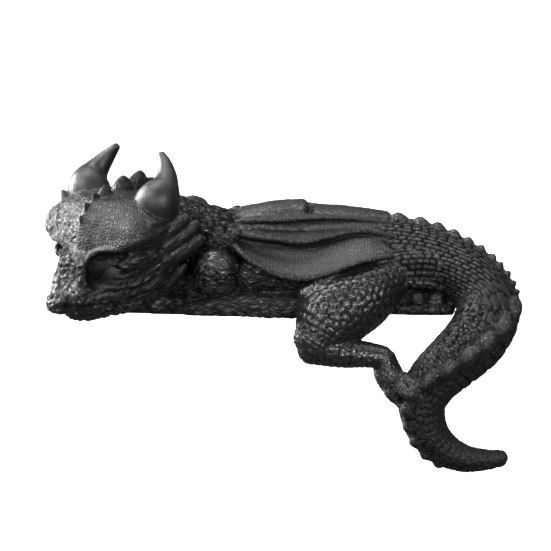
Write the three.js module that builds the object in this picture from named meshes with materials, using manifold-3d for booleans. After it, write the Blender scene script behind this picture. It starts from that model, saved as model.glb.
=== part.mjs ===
// A small black dragon cast in one piece, asleep along the edge of a shelf. It lies on its flat
// underside with its chin on the shelf, its wings folded over its back, and one hind leg and the
// tail hanging down in front of the shelf's edge.
// Units are millimetres, +Z is up, the head is towards -X and the shelf's edge towards -Y.

import * as THREE from "three";
import { mergeVertices } from "three/addons/utils/BufferGeometryUtils.js";
import Module from "manifold-3d";

const wasm = await Module();
wasm.setup();

// Driving size
const overallLength = 150; // nose to the outermost tail spike

// The pose and the carving are shares of that length: a grid of 150 parts, measured from the
// shelf's edge, with x along the shelf, y back from its edge and z up from its top.
const gridParts = 150;
const part = overallLength / gridParts;
const seatDepth = 20; // from the shelf's edge back to the origin, on the flat underside
const bodyMidY = 23; // the plane that the body and its wings are symmetrical about
const fingerRadius = 1.1; // the bone along the edge of each wing pleat
const membraneSag = 1.3; // how far a wing's skin hollows between two bones
const foldDepth = 2.2; // the deeper hollow between the wing's leaf and the pleats above it
const wingRoofDrop = 2; // how far a wing's inner edge lies below its top bone
const farWingDrop = 1.6; // the far wing's tip lies a little lower than the near one's
const spikeRoot = 2.4; // how far a crest spike goes on below the skin
const crestWidth = 2; // a crest spike's width, beyond its share of the pitch
const keelRise = 2.1; // how far the tail's keel stands out from its round

const DEPTH = new THREE.Vector3(0, 1, 0);
const UP = new THREE.Vector3(0, 0, 1);
const ALONG = new THREE.Vector3(1, 0, 0);

// Smooth values along a row of stations, such as places or half-widths.
function smoothRow(rows, first) {
  const points = rows.map((row) => new THREE.Vector3(row[first], row[first + 1], row[first + 2] ?? 0));
  return new THREE.CatmullRomCurve3(points, false, "catmullrom", 0.5);
}

function solid(geometry) {
  const bare = geometry.index ? geometry.clone() : mergeVertices(geometry);
  bare.deleteAttribute("normal");
  bare.deleteAttribute("uv");
  const merged = mergeVertices(bare, 1e-4);
  return new wasm.Manifold(
    new wasm.Mesh({
      numProp: 3,
      vertProperties: new Float32Array(merged.attributes.position.array),
      triVerts: new Uint32Array(merged.index.array),
    }),
  );
}

// Closes rings of points into one skin, with a fan to a pole at each end.
function skin(rings, startPole, endPole) {
  const sides = rings[0].length;
  const points = [startPole, ...rings.flat(), endPole];
  const faces = [];
  const at = (ring, side) => 1 + ring * sides + (side % sides);
  for (let side = 0; side < sides; side++) {
    faces.push(0, at(0, side + 1), at(0, side));
    faces.push(points.length - 1, at(rings.length - 1, side), at(rings.length - 1, side + 1));
    for (let ring = 0; ring + 1 < rings.length; ring++) {
      faces.push(at(ring, side), at(ring, side + 1), at(ring + 1, side + 1));
      faces.push(at(ring, side), at(ring + 1, side + 1), at(ring + 1, side));
    }
  }
  const positions = points.flatMap((point) => [point.x * part, point.y * part, point.z * part]);
  const geometry = new THREE.BufferGeometry();
  geometry.setAttribute("position", new THREE.Float32BufferAttribute(positions, 3));
  geometry.setIndex(faces);
  const made = solid(geometry);
  if (made.volume() > 0) return made;
  geometry.setIndex(faces.toReversed());
  return solid(geometry);
}

// A limb is a tapering round form along a smooth line. Each station is [x, y, z, half-height, half-width]:
// the half-width lies along `across`, and the half-height square to that and to the line.
function limb(stations, options = {}) {
  const { sides = 12, ringsPerSpan = 1, across = DEPTH, squareness = 2, place = null } = options;
  const line = smoothRow(stations, 0);
  const girth = smoothRow(stations, 3);
  const count = (stations.length - 1) * ringsPerSpan;
  const capSteps = sides > 12 ? [0.6, 0.9] : [0.75];
  const rings = [];
  const poles = [];
  const power = 2 / squareness;
  const bend = (value) => Math.sign(value) * Math.abs(value) ** power;
  const ringAt = (centre, tangent, halfHeight, halfWidth) => {
    const wide = across.clone().addScaledVector(tangent, -across.dot(tangent)).normalize();
    const high = new THREE.Vector3().crossVectors(tangent, wide).normalize();
    const ring = [];
    for (let side = 0; side < sides; side++) {
      const angle = (2 * Math.PI * side) / sides;
      ring.push(
        centre
          .clone()
          .addScaledVector(wide, halfWidth * bend(Math.cos(angle)))
          .addScaledVector(high, halfHeight * bend(Math.sin(angle))),
      );
    }
    return ring;
  };
  for (let i = 0; i <= count; i++) {
    const t = i / count;
    const centre = line.getPoint(t);
    const tangent = line.getTangent(t);
    const { x: halfHeight, y: halfWidth } = girth.getPoint(t);
    const end = i === 0 ? -1 : i === count ? 1 : 0;
    const capLength = 0.8 * Math.min(halfHeight, halfWidth);
    const caps = capSteps.map((step) => {
      const shrink = Math.sqrt(1 - step * step);
      const moved = centre.clone().addScaledVector(tangent, end * capLength * step);
      return ringAt(moved, tangent, halfHeight * shrink, halfWidth * shrink);
    });
    const own = ringAt(centre, tangent, halfHeight, halfWidth);
    if (end === -1) rings.push(...caps.toReversed(), own);
    else if (end === 1) rings.push(own, ...caps);
    else rings.push(own);
    if (end) poles.push(centre.clone().addScaledVector(tangent, end * capLength));
  }
  const moved = (point) => (place ? place(point) : point);
  return skin(rings.map((ring) => ring.map(moved)), moved(poles[0]), moved(poles[1]));
}

const mirrored = (stations) => stations.map(([x, y, z, ...girth]) => [x, 2 * bodyMidY - y, z, ...girth]);

// The trunk runs on into the tail, which turns down over the shelf's edge and curls back up to its tip.
const spine = [
  [-22, 23, 15, 12, 12],
  [-8, 23, 15.3, 13.5, 16.5],
  [6, 23, 15, 13.8, 18],
  [20, 22.5, 14.8, 13.4, 18],
  [33, 20, 16.1, 11.6, 15.5],
  [45, 15.5, 16, 10.3, 12],
  [55, 9, 13.6, 9.5, 10],
  [62, 2, 9.2, 9.8, 9],
  [64.6, -4.5, 3.3, 10, 8.5],
  [61, -8.2, -4.3, 9.8, 8],
  [54.2, -9, -11.4, 9.1, 7.5],
  [47.6, -9, -17.8, 8.2, 7.2],
  [44, -9, -24.5, 7.6, 6.8],
  [44.5, -9, -31, 6.8, 6.2],
  [47, -9, -36.8, 6, 5.4],
  [51.6, -9, -41.2, 5.2, 4.6],
  [57.4, -9, -43.8, 4.3, 3.9],
  [63.6, -9, -44.3, 3.4, 3.2],
  [69, -9, -43.9, 2.5, 2.6],
];

// The belly spreads where it lies on the shelf.
const belly = [
  [-34, 13, 4.5, 6, 11],
  [-18, 16.5, 4.5, 6, 15.5],
  [0, 19, 4.5, 6, 18],
  [22, 18.5, 5, 6, 17.5],
  [36, 15, 5, 5.5, 14],
];

const neck = [
  [-14, 23, 16.4, 12, 12],
  [-24, 23, 18.6, 12, 10.5],
  [-34, 22.5, 23, 11, 10.5],
  [-43, 21.5, 25, 10, 11],
];

// The near hind leg hangs over the edge: thigh forward to the knee, shin back, foot against the tail.
const hangingThigh = [
  [44.5, 14, 14, 7.6, 8.6],
  [34.6, 10, 12.1, 8.2, 9.4],
  [24.8, 1.5, 5.9, 10.4, 10],
  [15.2, -5, 0.6, 10.6, 8.4],
  [10.4, -7.8, -6.2, 7.2, 6.6],
];
// The haunch is full below, as far as the root of the tail.
const haunch = [
  [20, 6.8, 10.4, 6, 7.4],
  [31, 8.8, 13, 6.3, 8],
  [44, 10.4, 14.6, 6.2, 8.6],
  [57, 8.4, 13.6, 6.2, 8.8],
];
const hangingShin = [
  [10, -7.8, -6.8, 6.4, 6.3],
  [18.2, -7.6, -9.2, 5, 5.6],
  [26, -7.6, -10.2, 4, 4.8],
  [31.8, -7.8, -11, 3.4, 4.2],
];
const hangingFoot = [
  [32.2, -8, -11.6, 3.6, 4.2],
  [33.4, -8.6, -16.2, 4.4, 4.6],
  [35.6, -9.8, -20.4, 4, 4.4],
];
const hangingToes = [
  [[33, -10.4, -18.6, 2, 2.4], [34.2, -11.6, -21.4, 2.2, 2.4], [35.4, -12, -23.2, 1.7, 1.8]],
  [[35.8, -11.4, -17.8, 2, 2.4], [38, -13.4, -20.2, 2.1, 2.4], [39.6, -14.2, -22, 1.6, 1.8]],
  [[37.8, -11.2, -16.4, 1.8, 2.2], [40.6, -13.6, -18.4, 1.9, 2.2], [42.4, -14.8, -20, 1.5, 1.6]],
];

// The far hind leg is folded on the shelf, its foot coming out under the root of the tail.
const foldedThigh = [
  [31, 35, 14, 9, 7],
  [20, 39, 11, 9.5, 6.5],
  [10, 40.5, 7.5, 7, 5.5],
];
const foldedShin = [
  [9, 41, 4.8, 4.8, 4.6],
  [20, 41, 4, 4.2, 4.2],
  [32, 38, 3.6, 3.8, 4.2],
];
const foldedToes = [36.5, 42.2, 48.2, 54.2].map((x, k) => [
  [x - 1, 16 - k, 6, 3.2, 3.1],
  [x, 9 - 0.4 * k, 5.4, 3.3, 2.9],
  [x + 0.6, 4.8 - 0.2 * k, 4.6, 2.4, 2.5],
]);
const foldedPad = [
  [33, 6, 2, 2.6, 4.8],
  [43, 5, 1.8, 2.4, 4.8],
  [53, 5, 1.6, 2.2, 4.4],
];

const upperArm = [
  [-16.5, 10, 14, 6, 6],
  [-20.6, 4.6, 12, 7.4, 6.4],
  [-26, 4.6, 7.4, 4.8, 4.4],
  [-32, 4.6, 4.4, 3.8, 4],
];
const elbow = [
  [-20.4, 5.4, 15, 6.4, 6.2],
  [-21.2, 4.6, 9.8, 7, 6],
];
const flank = [
  [-12, 8.6, 11.4, 5.2, 6.2],
  [-3, 8, 11.4, 6, 7],
  [8, 9.4, 11, 6, 7.2],
];
const forearm = [
  [6, 3, 2.9, 3.8, 4.8],
  [-7, 3.4, 3, 4, 4.6],
  [-18, 4.2, 2.6, 3.6, 4.4],
  [-29, 5.2, 2.4, 3.4, 4.4],
];
const paw = [
  [-27, 6.2, 2.6, 3.4, 5],
  [-38, 7, 2.6, 3.2, 4.8],
  [-49, 8.8, 2.2, 2.8, 4.6],
];

// Wing lines on the near side, root to tip. Odd ones are bones at the pleats' edges and even ones
// are the folds between them, so the wing's section is a zigzag over the flank.
const wingLines = [
  [[-16, 6, 22.6], [-10.4, 0.4, 18.6], [-3, -2.8, 15], [6, -4.2, 13.3], [14.5, -4.9, 15.2], [24, -3, 18.2], [34.8, 1.8, 19.2]],
  [[-14.6, 9, 23.2], [-9, 7.8, 21.8], [-1, 6.2, 21.1], [6, 5.2, 20.8], [14, 5.2, 22.2], [24, 6.4, 24.3], [35.2, 8.2, 22.4]],
  [[-14, 8.6, 25.2], [-9, 5.3, 24.8], [-1, 3.6, 24.1], [6, 3.5, 23.2], [14, 4.5, 24.5], [24, 6.8, 26], [35.4, 9.4, 23.9]],
  [[-12.6, 12.6, 26], [-8, 12, 25.6], [0, 11.2, 25.2], [7, 11, 25.2], [15, 10.8, 25.6], [25, 11.4, 25.8], [35.4, 12.6, 24.8]],
  [[-13, 14, 27.6], [-8, 12.4, 28.2], [0, 11, 28.6], [7, 10.9, 29.1], [15, 11, 29.3], [25, 12.6, 28.4], [35.4, 15, 26.6]],
  [[-13, 17, 27.6], [-8, 16.4, 28.8], [0, 16, 29.4], [7, 16, 29.6], [15, 16, 29.3], [25, 16.6, 28.4], [35.2, 17.6, 26.6]],
];
const nearBones = [0, 2, 4];
const farBones = [0, 4];
const wingArm = [
  [-20.6, 8.6, 21, 2.8, 3],
  [-17, 6.4, 23, 2.6, 2.6],
  [-14, 7.6, 25.2, 2, 2.2],
];

function wing(side) {
  const settle = side > 0 ? 0 : farWingDrop;
  const across = (point) =>
    new THREE.Vector3(
      point.x,
      side > 0 ? point.y : 2 * bodyMidY - point.y,
      point.z - settle * THREE.MathUtils.smoothstep(point.x, 4, 14),
    );
  const lines = wingLines.map((line) => smoothRow(line, 0));
  const steps = 8;
  const rings = [];
  for (let i = 0; i <= steps; i++) {
    const t = i / steps;
    const edge = lines.map((line) => line.getPoint(t));
    const ring = [];
    edge.forEach((point, k) => {
      ring.push(point);
      const next = edge[k + 1];
      if (!next) return;
      // Skin between two lines hollows inwards, most in the middle of the wing.
      const middle = point.clone().lerp(next, 0.5);
      const depth = [membraneSag, foldDepth][k] ?? 0.4 * membraneSag;
      const hollow = depth * Math.sin(Math.PI * t);
      ring.push(middle.add(new THREE.Vector3(0, hollow, -0.3 * hollow)));
    });
    const last = edge.at(-1);
    ring.push(new THREE.Vector3(last.x, bodyMidY, last.z - wingRoofDrop));
    ring.push(new THREE.Vector3(last.x, bodyMidY, edge[0].z));
    rings.push(ring);
  }
  const centreOf = (ring) => ring.reduce((sum, p) => sum.add(p), new THREE.Vector3()).divideScalar(ring.length);
  const poles = [centreOf(rings[0]), centreOf(rings.at(-1))];
  const made = [skin(rings.map((ring) => ring.map(across)), across(poles[0]), across(poles[1]))];
  for (const index of side > 0 ? nearBones : farBones) {
    const bone = wingLines[index].map(([x, y, z], k, all) => {
      const taper = 1 - 0.4 * (k / (all.length - 1));
      return [x, y, z, fingerRadius * taper, fingerRadius * taper];
    });
    made.push(limb(bone, { sides: 5, place: across }));
  }
  made.push(limb(wingArm, { sides: 6, place: across }));
  return made;
}

// A spike is a blunt tooth, flat from side to side, its tip leaning towards the tail.
function spike(tip, outward, backward, size, place = (point) => point) {
  const { height, length, width } = size;
  const out = outward.clone().normalize();
  const back = backward.clone().addScaledVector(out, -backward.dot(out)).normalize();
  const sideways = new THREE.Vector3().crossVectors(back, out);
  const cone = new THREE.CylinderGeometry(0.36, 1, 1, 5, 1);
  const position = cone.attributes.position;
  for (let i = 0; i < position.count; i++) {
    const rise = position.getY(i) + 0.5;
    const point = tip
      .clone()
      .addScaledVector(out, (rise - 1) * (height + spikeRoot))
      .addScaledVector(back, (position.getX(i) * length) / 2 + (rise - 1) * 0.2 * length)
      .addScaledVector(sideways, (position.getZ(i) * width) / 2);
    const placed = place(point).multiplyScalar(part);
    position.setXYZ(i, placed.x, placed.y, placed.z);
  }
  return solid(cone);
}

// The tip of a spike that stands on the trunk or the tail, in the direction of a guide point.
const trunkLine = smoothRow(spine, 0);
const trunkGirth = smoothRow(spine, 3);
function onTrunk(guide, height) {
  const steps = 200;
  let nearest = 0;
  for (let i = 1; i <= steps; i++) {
    const closer = trunkLine.getPoint(i / steps).distanceTo(guide);
    if (closer < trunkLine.getPoint(nearest).distanceTo(guide)) nearest = i / steps;
  }
  const centre = trunkLine.getPoint(nearest);
  const tangent = trunkLine.getTangent(nearest);
  const girth = trunkGirth.getPoint(nearest);
  const wide = DEPTH.clone().addScaledVector(tangent, -DEPTH.dot(tangent)).normalize();
  const high = new THREE.Vector3().crossVectors(tangent, wide).normalize();
  const outward = guide.clone().sub(centre);
  outward.addScaledVector(tangent, -outward.dot(tangent)).normalize();
  const surface = 1 / Math.hypot(outward.dot(high) / girth.x, outward.dot(wide) / girth.y);
  return { centre, tip: centre.clone().addScaledVector(outward, surface + height), outward, tangent, surface };
}

// The tail's keel is a ridge along a guide line. Its flanks run into the tail's round, and it fades
// out at both ends.
const keelAt = (share) => keelRise * Math.sin(Math.PI * Math.min(1, 0.08 + 1.2 * share));
function keel(guide) {
  const line = smoothRow(guide, 0);
  const steps = 12;
  const rings = [];
  for (let i = 0; i <= steps; i++) {
    const rise = Math.max(0.2, keelAt(i / steps));
    const { centre, tip, outward, tangent, surface } = onTrunk(line.getPointAt(i / steps), rise);
    const sideways = new THREE.Vector3().crossVectors(tangent, outward);
    const spread = Math.acos(surface / (surface + rise));
    const flankFoot = (side) =>
      centre
        .clone()
        .addScaledVector(outward, 0.97 * surface * Math.cos(spread))
        .addScaledVector(sideways, side * 0.97 * surface * Math.sin(spread));
    rings.push([tip, flankFoot(1), centre.clone().addScaledVector(outward, 0.4 * surface), flankFoot(-1)]);
  }
  const middleOf = (ring) => ring[0].clone().lerp(ring[2], 0.5);
  return skin(rings, middleOf(rings[0]), middleOf(rings.at(-1)));
}

// A crest is a row of spikes along a guide line, from one pitch and height to another. On the tail
// they stand on the keel.
function crest({ guide, pitch, height, lift = () => 0 }) {
  const line = smoothRow(guide, 0);
  const lengthInAll = line.getLength();
  const made = [];
  let travelled = 0;
  while (travelled <= lengthInAll) {
    const share = travelled / lengthInAll;
    const step = THREE.MathUtils.lerp(pitch[0], pitch[1], share);
    const tall = THREE.MathUtils.lerp(height[0], height[1], share);
    const { tip, outward, tangent } = onTrunk(line.getPointAt(share), tall + lift(share));
    made.push(spike(tip, outward, tangent, { height: tall, length: 1.5 * step, width: 0.4 * step + crestWidth }));
    travelled += step;
  }
  return made;
}
const rumpCrest = {
  guide: [[37, 19.6, 29.6], [49.2, 15, 26.8], [59.8, 8, 22.7], [68.3, 1, 18.6], [72.3, -2, 14.7], [75, -5, 9.6]],
  pitch: [7.4, 3],
  height: [1.5, 1.1],
};
const tailCrest = {
  guide: [[74.4, -9, 5.6], [70, -14, 0.9], [55.7, -17, -10.3], [41.3, -15, -20.5], [39.8, -12, -32.2], [46.6, -10, -43], [52.6, -10, -46]],
  pitch: [8.4, 4.8],
  height: [1.5, 0.4],
  lift: keelAt,
};

// Between the wings the crest is two long low humps, and on the nape it is two spikes.
const backHumps = [
  [[-16, bodyMidY, 25.8, 2.6, 4.6], [-4, bodyMidY, 29, 2.8, 6], [6.6, bodyMidY, 29.8, 2.8, 6]],
  [[11, bodyMidY, 28.4, 2.6, 6], [20, bodyMidY, 27.8, 2.6, 6], [33, bodyMidY, 26.2, 2.6, 5]],
];
const napeCrest = [[-28.2, 34.1], [-22, 31]];
const napeSpike = { height: 2.6, length: 10.5, width: 4.4 };

// The head has a frame of its own: forward to the nose, left to the dragon's left, which is the
// near side, and up. It is turned towards the shelf's edge.
const headOrigin = new THREE.Vector3(-53.2, 9.7, 0);
const headYaw = THREE.MathUtils.degToRad(50);
const forward = new THREE.Vector3(-Math.cos(headYaw), -Math.sin(headYaw), 0);
const left = new THREE.Vector3(Math.sin(headYaw), -Math.cos(headYaw), 0);
const onHead = (point) =>
  headOrigin
    .clone()
    .addScaledVector(forward, point.x)
    .addScaledVector(left, point.y)
    .addScaledVector(UP, point.z);

// Outlines of the head at levels from the chin up. Each is a height, the rise of the outline towards
// the sides, and half an outline from the middle of the face round to the nape, as [forward, left].
const headLevels = [
  [0, 0, [[18.4, 0], [17.2, 3.4], [13.4, 4.6], [7, 5.4], [0, 7], [-7, 9], [-13, 8], [-15, 0]]],
  [3, 0, [[21, 0], [20, 4.4], [16.4, 6.6], [9, 9.4], [0, 12.4], [-8, 13.4], [-15, 10], [-17, 0]]],
  [5.2, 0.6, [[22.4, 0], [21.6, 5], [17.8, 7.4], [10.6, 10.4], [0, 14.2], [-8, 15.4], [-15.6, 11], [-17.6, 0]]],
  [6.6, 1.6, [[23.4, 0], [22.8, 5.6], [19, 8.2], [13, 11.6], [2.6, 15.4], [-7, 17], [-15.6, 12], [-17.8, 0]]],
  [9.4, 1, [[23.2, 0], [22.7, 6], [19, 8.4], [14.2, 12.6], [4.6, 16.8], [-6, 17.8], [-15.6, 13], [-18, 0]]],
  [12.6, 1, [[22.2, 0], [21.6, 6.2], [18.2, 8], [14, 12.6], [5.6, 17.2], [-6, 18.4], [-15.6, 13.6], [-18, 0]]],
  [16, 1, [[21, 0], [20.4, 6.2], [16, 6.6], [12.8, 9.4], [7, 15.6], [-5, 18.6], [-15.4, 14], [-18, 0]]],
  [19.8, 3, [[19.6, 0], [19, 5.8], [14.6, 5.8], [11.2, 9], [6.6, 15.8], [-4, 19], [-15, 14.4], [-18, 0]]],
  [22, 4.4, [[16.6, 0], [15.5, 5.6], [14, 11.4], [11.4, 18], [6, 20.4], [-4, 19.8], [-15, 15], [-18, 0]]],
  [26, 2.6, [[15.8, 0], [14.8, 5.8], [13.2, 12], [11, 18.6], [5.4, 20.6], [-5, 19.6], [-14.6, 15], [-17.6, 0]]],
  [30.6, 1, [[14.8, 0], [13.4, 6], [11.8, 12], [9.8, 17.8], [4, 19.6], [-5, 19], [-13.6, 14.4], [-16.8, 0]]],
  [34.2, 0, [[12.6, 0], [11.2, 5.4], [9.4, 10.6], [7, 15], [1.6, 16.6], [-6, 16.2], [-12, 12], [-15, 0]]],
  [37, 0, [[9, 0], [7.6, 4.2], [5.6, 8], [3, 10.8], [-1, 12], [-6, 11], [-10, 8], [-12.4, 0]]],
];
const headTop = new THREE.Vector3(-1.5, 0, 38.4);
const skullHalfWidth = 20.6;

function skull() {
  const rings = headLevels.map(([up, rise, half]) => {
    const at = (ahead, aside) => new THREE.Vector3(ahead, aside, up + rise * (aside / skullHalfWidth) ** 2);
    const outline = half.map(([ahead, aside]) => at(ahead, aside));
    const other = half.slice(1, -1).reverse().map(([ahead, aside]) => at(ahead, -aside));
    return [...outline, ...other];
  });
  const chin = new THREE.Vector3(2, 0, -1);
  return skin(rings.map((ring) => ring.map(onHead)), onHead(chin), onHead(headTop));
}

const nosePad = [
  [22, 0, 7, 3, 4.8],
  [25.6, 0, 6.4, 3, 5],
];
const eyeball = [
  [12.6, 11, 17.4, 1.4, 1.2],
  [8.8, 15.2, 19, 3.1, 2.6],
  [1.6, 18.6, 21.4, 1.4, 1.2],
];
const lowerLip = [
  [20.6, 3.6, 3.4, 0.9, 1.4],
  [13.4, 8.2, 3.8, 1, 1.2],
  [4, 12.8, 4.6, 1, 1.2],
  [-5, 15.6, 6.4, 0.9, 1],
];
const horn = [
  [-4.6, 13, 32.6, 7.2, 7.2],
  [-5, 14.5, 36.2, 7.1, 7.1],
  [-6.9, 15, 39.3, 5.9, 5.9],
  [-8.5, 14.8, 41.4, 4.3, 4.2],
  [-10, 13.9, 43.5, 3.4, 3.2],
  [-11.6, 11.9, 46.6, 2.3, 2.2],
  [-12.4, 9.6, 49.3, 1.4, 1.3],
];
const jawFrill = [
  [[-4, 19, 27, 1.8, 2.6], [-8, 20, 29, 1.6, 2.2], [-11.4, 20.8, 30.6, 1.4, 1.6]],
  [[-4, 18.6, 23.4, 2, 2.6], [-10, 19.8, 25.2, 2, 2.4], [-15.4, 20.8, 27.6, 1.4, 1.6]],
  [[-4, 18.4, 19, 2, 2.6], [-11, 20, 20.6, 2.1, 2.5], [-16.6, 21.4, 23, 1.4, 1.6]],
  [[-6, 16.8, 9.6, 1.6, 2], [-11, 17.2, 11.6, 1.4, 1.8], [-14.6, 17.4, 14, 0.7, 1]],
];
const browLip = [
  [6.7, 15.8, 36.4, 0.9, 0.9],
  [4.8, 13.2, 37.4, 1.5, 1.3],
  [1.2, 9.6, 38.2, 1, 1],
];
const headSpike = { height: 4.6, length: 10, width: 5.4 };
const headCrest = [[15, 32.6], [12.4, 36.4], [8.9, 39], [4, 41], [-5, 42.6], [-13.5, 42.6], [-20.4, 39]];

const bothSides = (stations, options) => {
  const flipped = stations.map(([x, y, z, ...girth]) => [x, -y, z, ...girth]);
  return [limb(stations, options), limb(flipped, options)];
};

function head() {
  const place = onHead;
  const backward = new THREE.Vector3(-1, 0, 0);
  const midline = headCrest.map(([ahead, up], k) => {
    const grown = Math.min(1, 0.5 + 0.17 * k);
    const size = {
      height: headSpike.height * grown,
      length: headSpike.length * grown,
      width: headSpike.width * grown,
    };
    return spike(new THREE.Vector3(ahead, 0, up), new THREE.Vector3(0.06 * ahead, 0, 1), backward, size, place);
  });
  return [
    skull(),
    limb(nosePad, { sides: 8, squareness: 2.6, place }),
    ...bothSides(eyeball, { across: UP, sides: 8, place }),
    ...bothSides(lowerLip, { across: UP, sides: 5, place }),
    ...bothSides(horn, { sides: 10, place }),
    ...jawFrill.flatMap((lobe) => bothSides(lobe, { across: UP, sides: 5, place })),
    ...bothSides(browLip, { sides: 5, place }),
    ...midline,
  ];
}

const everything = [
  limb(spine, { sides: 12 }),
  limb(belly, { sides: 8 }),
  limb(neck, { sides: 10 }),
  limb(hangingThigh, { sides: 11, ringsPerSpan: 2 }),
  limb(haunch, { sides: 10, squareness: 3.4 }),
  limb(hangingShin, { sides: 10 }),
  limb(hangingFoot, { sides: 10 }),
  ...hangingToes.map((toe) => limb(toe, { sides: 6 })),
  limb(foldedThigh, { sides: 9 }),
  limb(foldedShin, { sides: 7 }),
  ...foldedToes.map((toe) => limb(toe, { sides: 5 })),
  limb(elbow, { sides: 11 }),
  limb(mirrored(elbow), { sides: 6 }),
  limb(flank, { sides: 9 }),
  limb(mirrored(flank), { sides: 5 }),
  limb(foldedPad, { sides: 6 }),
  limb(upperArm, { sides: 10 }),
  limb(mirrored(upperArm), { sides: 6 }),
  limb(forearm, { sides: 10, squareness: 3 }),
  limb(mirrored(forearm), { sides: 6, squareness: 3 }),
  limb(paw, { sides: 10, squareness: 3 }),
  ...wing(1),
  ...wing(-1),
  ...crest(rumpCrest),
  keel(tailCrest.guide),
  ...crest(tailCrest),
  ...backHumps.map((hump) => limb(hump, { sides: 8 })),
  ...napeCrest.map(([x, z]) => spike(new THREE.Vector3(x, bodyMidY, z), UP, ALONG, napeSpike)),
  ...head(),
];

// The shelf's corner cuts the underside and the backs of the hanging leg and tail flat.
const shelfGeometry = new THREE.BoxGeometry(4 * overallLength, 2 * overallLength, 2 * overallLength);
shelfGeometry.translate(0, overallLength, -overallLength);
const cast = wasm.Manifold.union(everything).subtract(solid(shelfGeometry));

const castMesh = cast.getMesh();
const dragonGeometry = new THREE.BufferGeometry();
dragonGeometry.setAttribute("position", new THREE.BufferAttribute(castMesh.vertProperties, 3));
dragonGeometry.setIndex(new THREE.BufferAttribute(castMesh.triVerts, 1));
dragonGeometry.computeVertexNormals();

const dragon = new THREE.Mesh(
  dragonGeometry,
  new THREE.MeshStandardMaterial({ color: 0x17181a, roughness: 0.38, metalness: 0 }),
);
dragon.name = "dragon";
dragon.position.y = -seatDepth * part;

const statue = new THREE.Group();
statue.add(dragon);

export default statue;
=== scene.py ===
"""A small black resin dragon asleep along a shelf's edge, with its scales, lids and wing bones."""

import math
from types import SimpleNamespace

import bpy
import numpy as np
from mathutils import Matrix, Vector, kdtree


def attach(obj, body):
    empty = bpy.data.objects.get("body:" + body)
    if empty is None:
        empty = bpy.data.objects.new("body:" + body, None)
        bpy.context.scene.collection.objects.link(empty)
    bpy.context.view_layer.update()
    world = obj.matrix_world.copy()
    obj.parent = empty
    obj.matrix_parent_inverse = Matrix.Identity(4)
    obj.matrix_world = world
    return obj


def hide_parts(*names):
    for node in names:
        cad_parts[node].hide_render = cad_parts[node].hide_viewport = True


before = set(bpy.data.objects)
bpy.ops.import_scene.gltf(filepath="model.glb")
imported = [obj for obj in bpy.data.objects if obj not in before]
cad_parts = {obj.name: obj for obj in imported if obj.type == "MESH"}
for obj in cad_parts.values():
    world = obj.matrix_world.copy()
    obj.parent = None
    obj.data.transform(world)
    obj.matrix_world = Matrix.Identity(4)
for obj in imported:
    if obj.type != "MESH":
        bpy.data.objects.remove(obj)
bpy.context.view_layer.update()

# Trunk, tail, belly and neck: the middle of one solid casting in black resin. The trunk runs on into
# the tail, which turns down over the shelf's edge. Rows of brick-like plates run along the rump, with
# larger beads on the tail's outer side and fine pebbles on its inner side.
SPINE = [  # x, y, z, half-height and half-width, in millimetres from the shelf's edge
    [-22, 23, 15, 12, 12], [-8, 23, 15.3, 13.5, 16.5], [6, 23, 15, 13.8, 18],
    [20, 22.5, 14.8, 13.4, 18], [33, 20, 16.1, 11.6, 15.5], [45, 15.5, 16, 10.3, 12],
    [55, 9, 13.6, 9.5, 10], [62, 2, 9.2, 9.8, 9],
    [64.6, -4.5, 3.3, 10, 8.5], [61, -8.2, -4.3, 9.8, 8], [54.2, -9, -11.4, 9.1, 7.5],
    [47.6, -9, -17.8, 8.2, 7.2], [44, -9, -24.5, 7.6, 6.8], [44.5, -9, -31, 6.8, 6.2],
    [47, -9, -36.8, 6, 5.4], [51.6, -9, -41.2, 5.2, 4.6], [57.4, -9, -43.8, 4.3, 3.9],
    [63.6, -9, -44.3, 3.4, 3.2], [69, -9, -43.9, 2.5, 2.6],
]
BELLY = [
    [-34, 13, 4.5, 6, 11], [-18, 16.5, 4.5, 6, 15.5], [0, 19, 4.5, 6, 18], [22, 18.5, 5, 6, 17.5],
    [36, 15, 5, 5.5, 14],
]
NECK = [
    [-14, 23, 16.4, 12, 12], [-24, 23, 18.6, 12, 10.5], [-34, 22.5, 23, 11, 10.5],
    [-43, 21.5, 25, 10, 11],
]
TAIL_START = 110  # how far along the trunk the tail begins
RUMP_ROWS = 46  # round the whole trunk
RUMP_PLATE = 2.7  # how long a plate is
SPACING = 0.42  # between the points of a form
DEPTH = np.array([0.0, 1.0, 0.0])  # away from the viewer


def unit(vectors):
    return vectors / np.maximum(np.linalg.norm(vectors, axis=-1, keepdims=True), 1e-9)


def smooth(share):
    share = np.clip(share, 0, 1)
    return share * share * (3 - 2 * share)


def along(rows, share):
    """Smooth values at shares of the way along rows of stations, and how fast they change."""
    rows = np.asarray(rows, float)
    padded = np.vstack([2 * rows[0] - rows[1], rows, 2 * rows[-1] - rows[-2]])
    spot = np.clip(share, 0, 1) * (len(rows) - 1)
    first = np.minimum(spot.astype(int), len(rows) - 2)
    w = (spot - first)[:, None]
    p0, p1, p2, p3 = (padded[first + i] for i in range(4))
    m1, m2 = (p2 - p0) / 2, (p3 - p1) / 2
    value = (2 * w**3 - 3 * w**2 + 1) * p1 + (w**3 - 2 * w**2 + w) * m1
    value += (3 * w**2 - 2 * w**3) * p2 + (w**3 - w**2) * m2
    slope = (6 * w**2 - 6 * w) * (p1 - p2) + (3 * w**2 - 4 * w + 1) * m1 + (3 * w**2 - 2 * w) * m2
    return value, slope


def chance(*whole):
    """A fixed scatter between -1 and 1 for whole numbers."""
    mixed = sum(number * factor for number, factor in zip(whole, (127.1, 311.7, 74.7, 19.3)))
    return 2 * np.modf(np.abs(np.sin(mixed) * 43758.5453))[0] - 1


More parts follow.
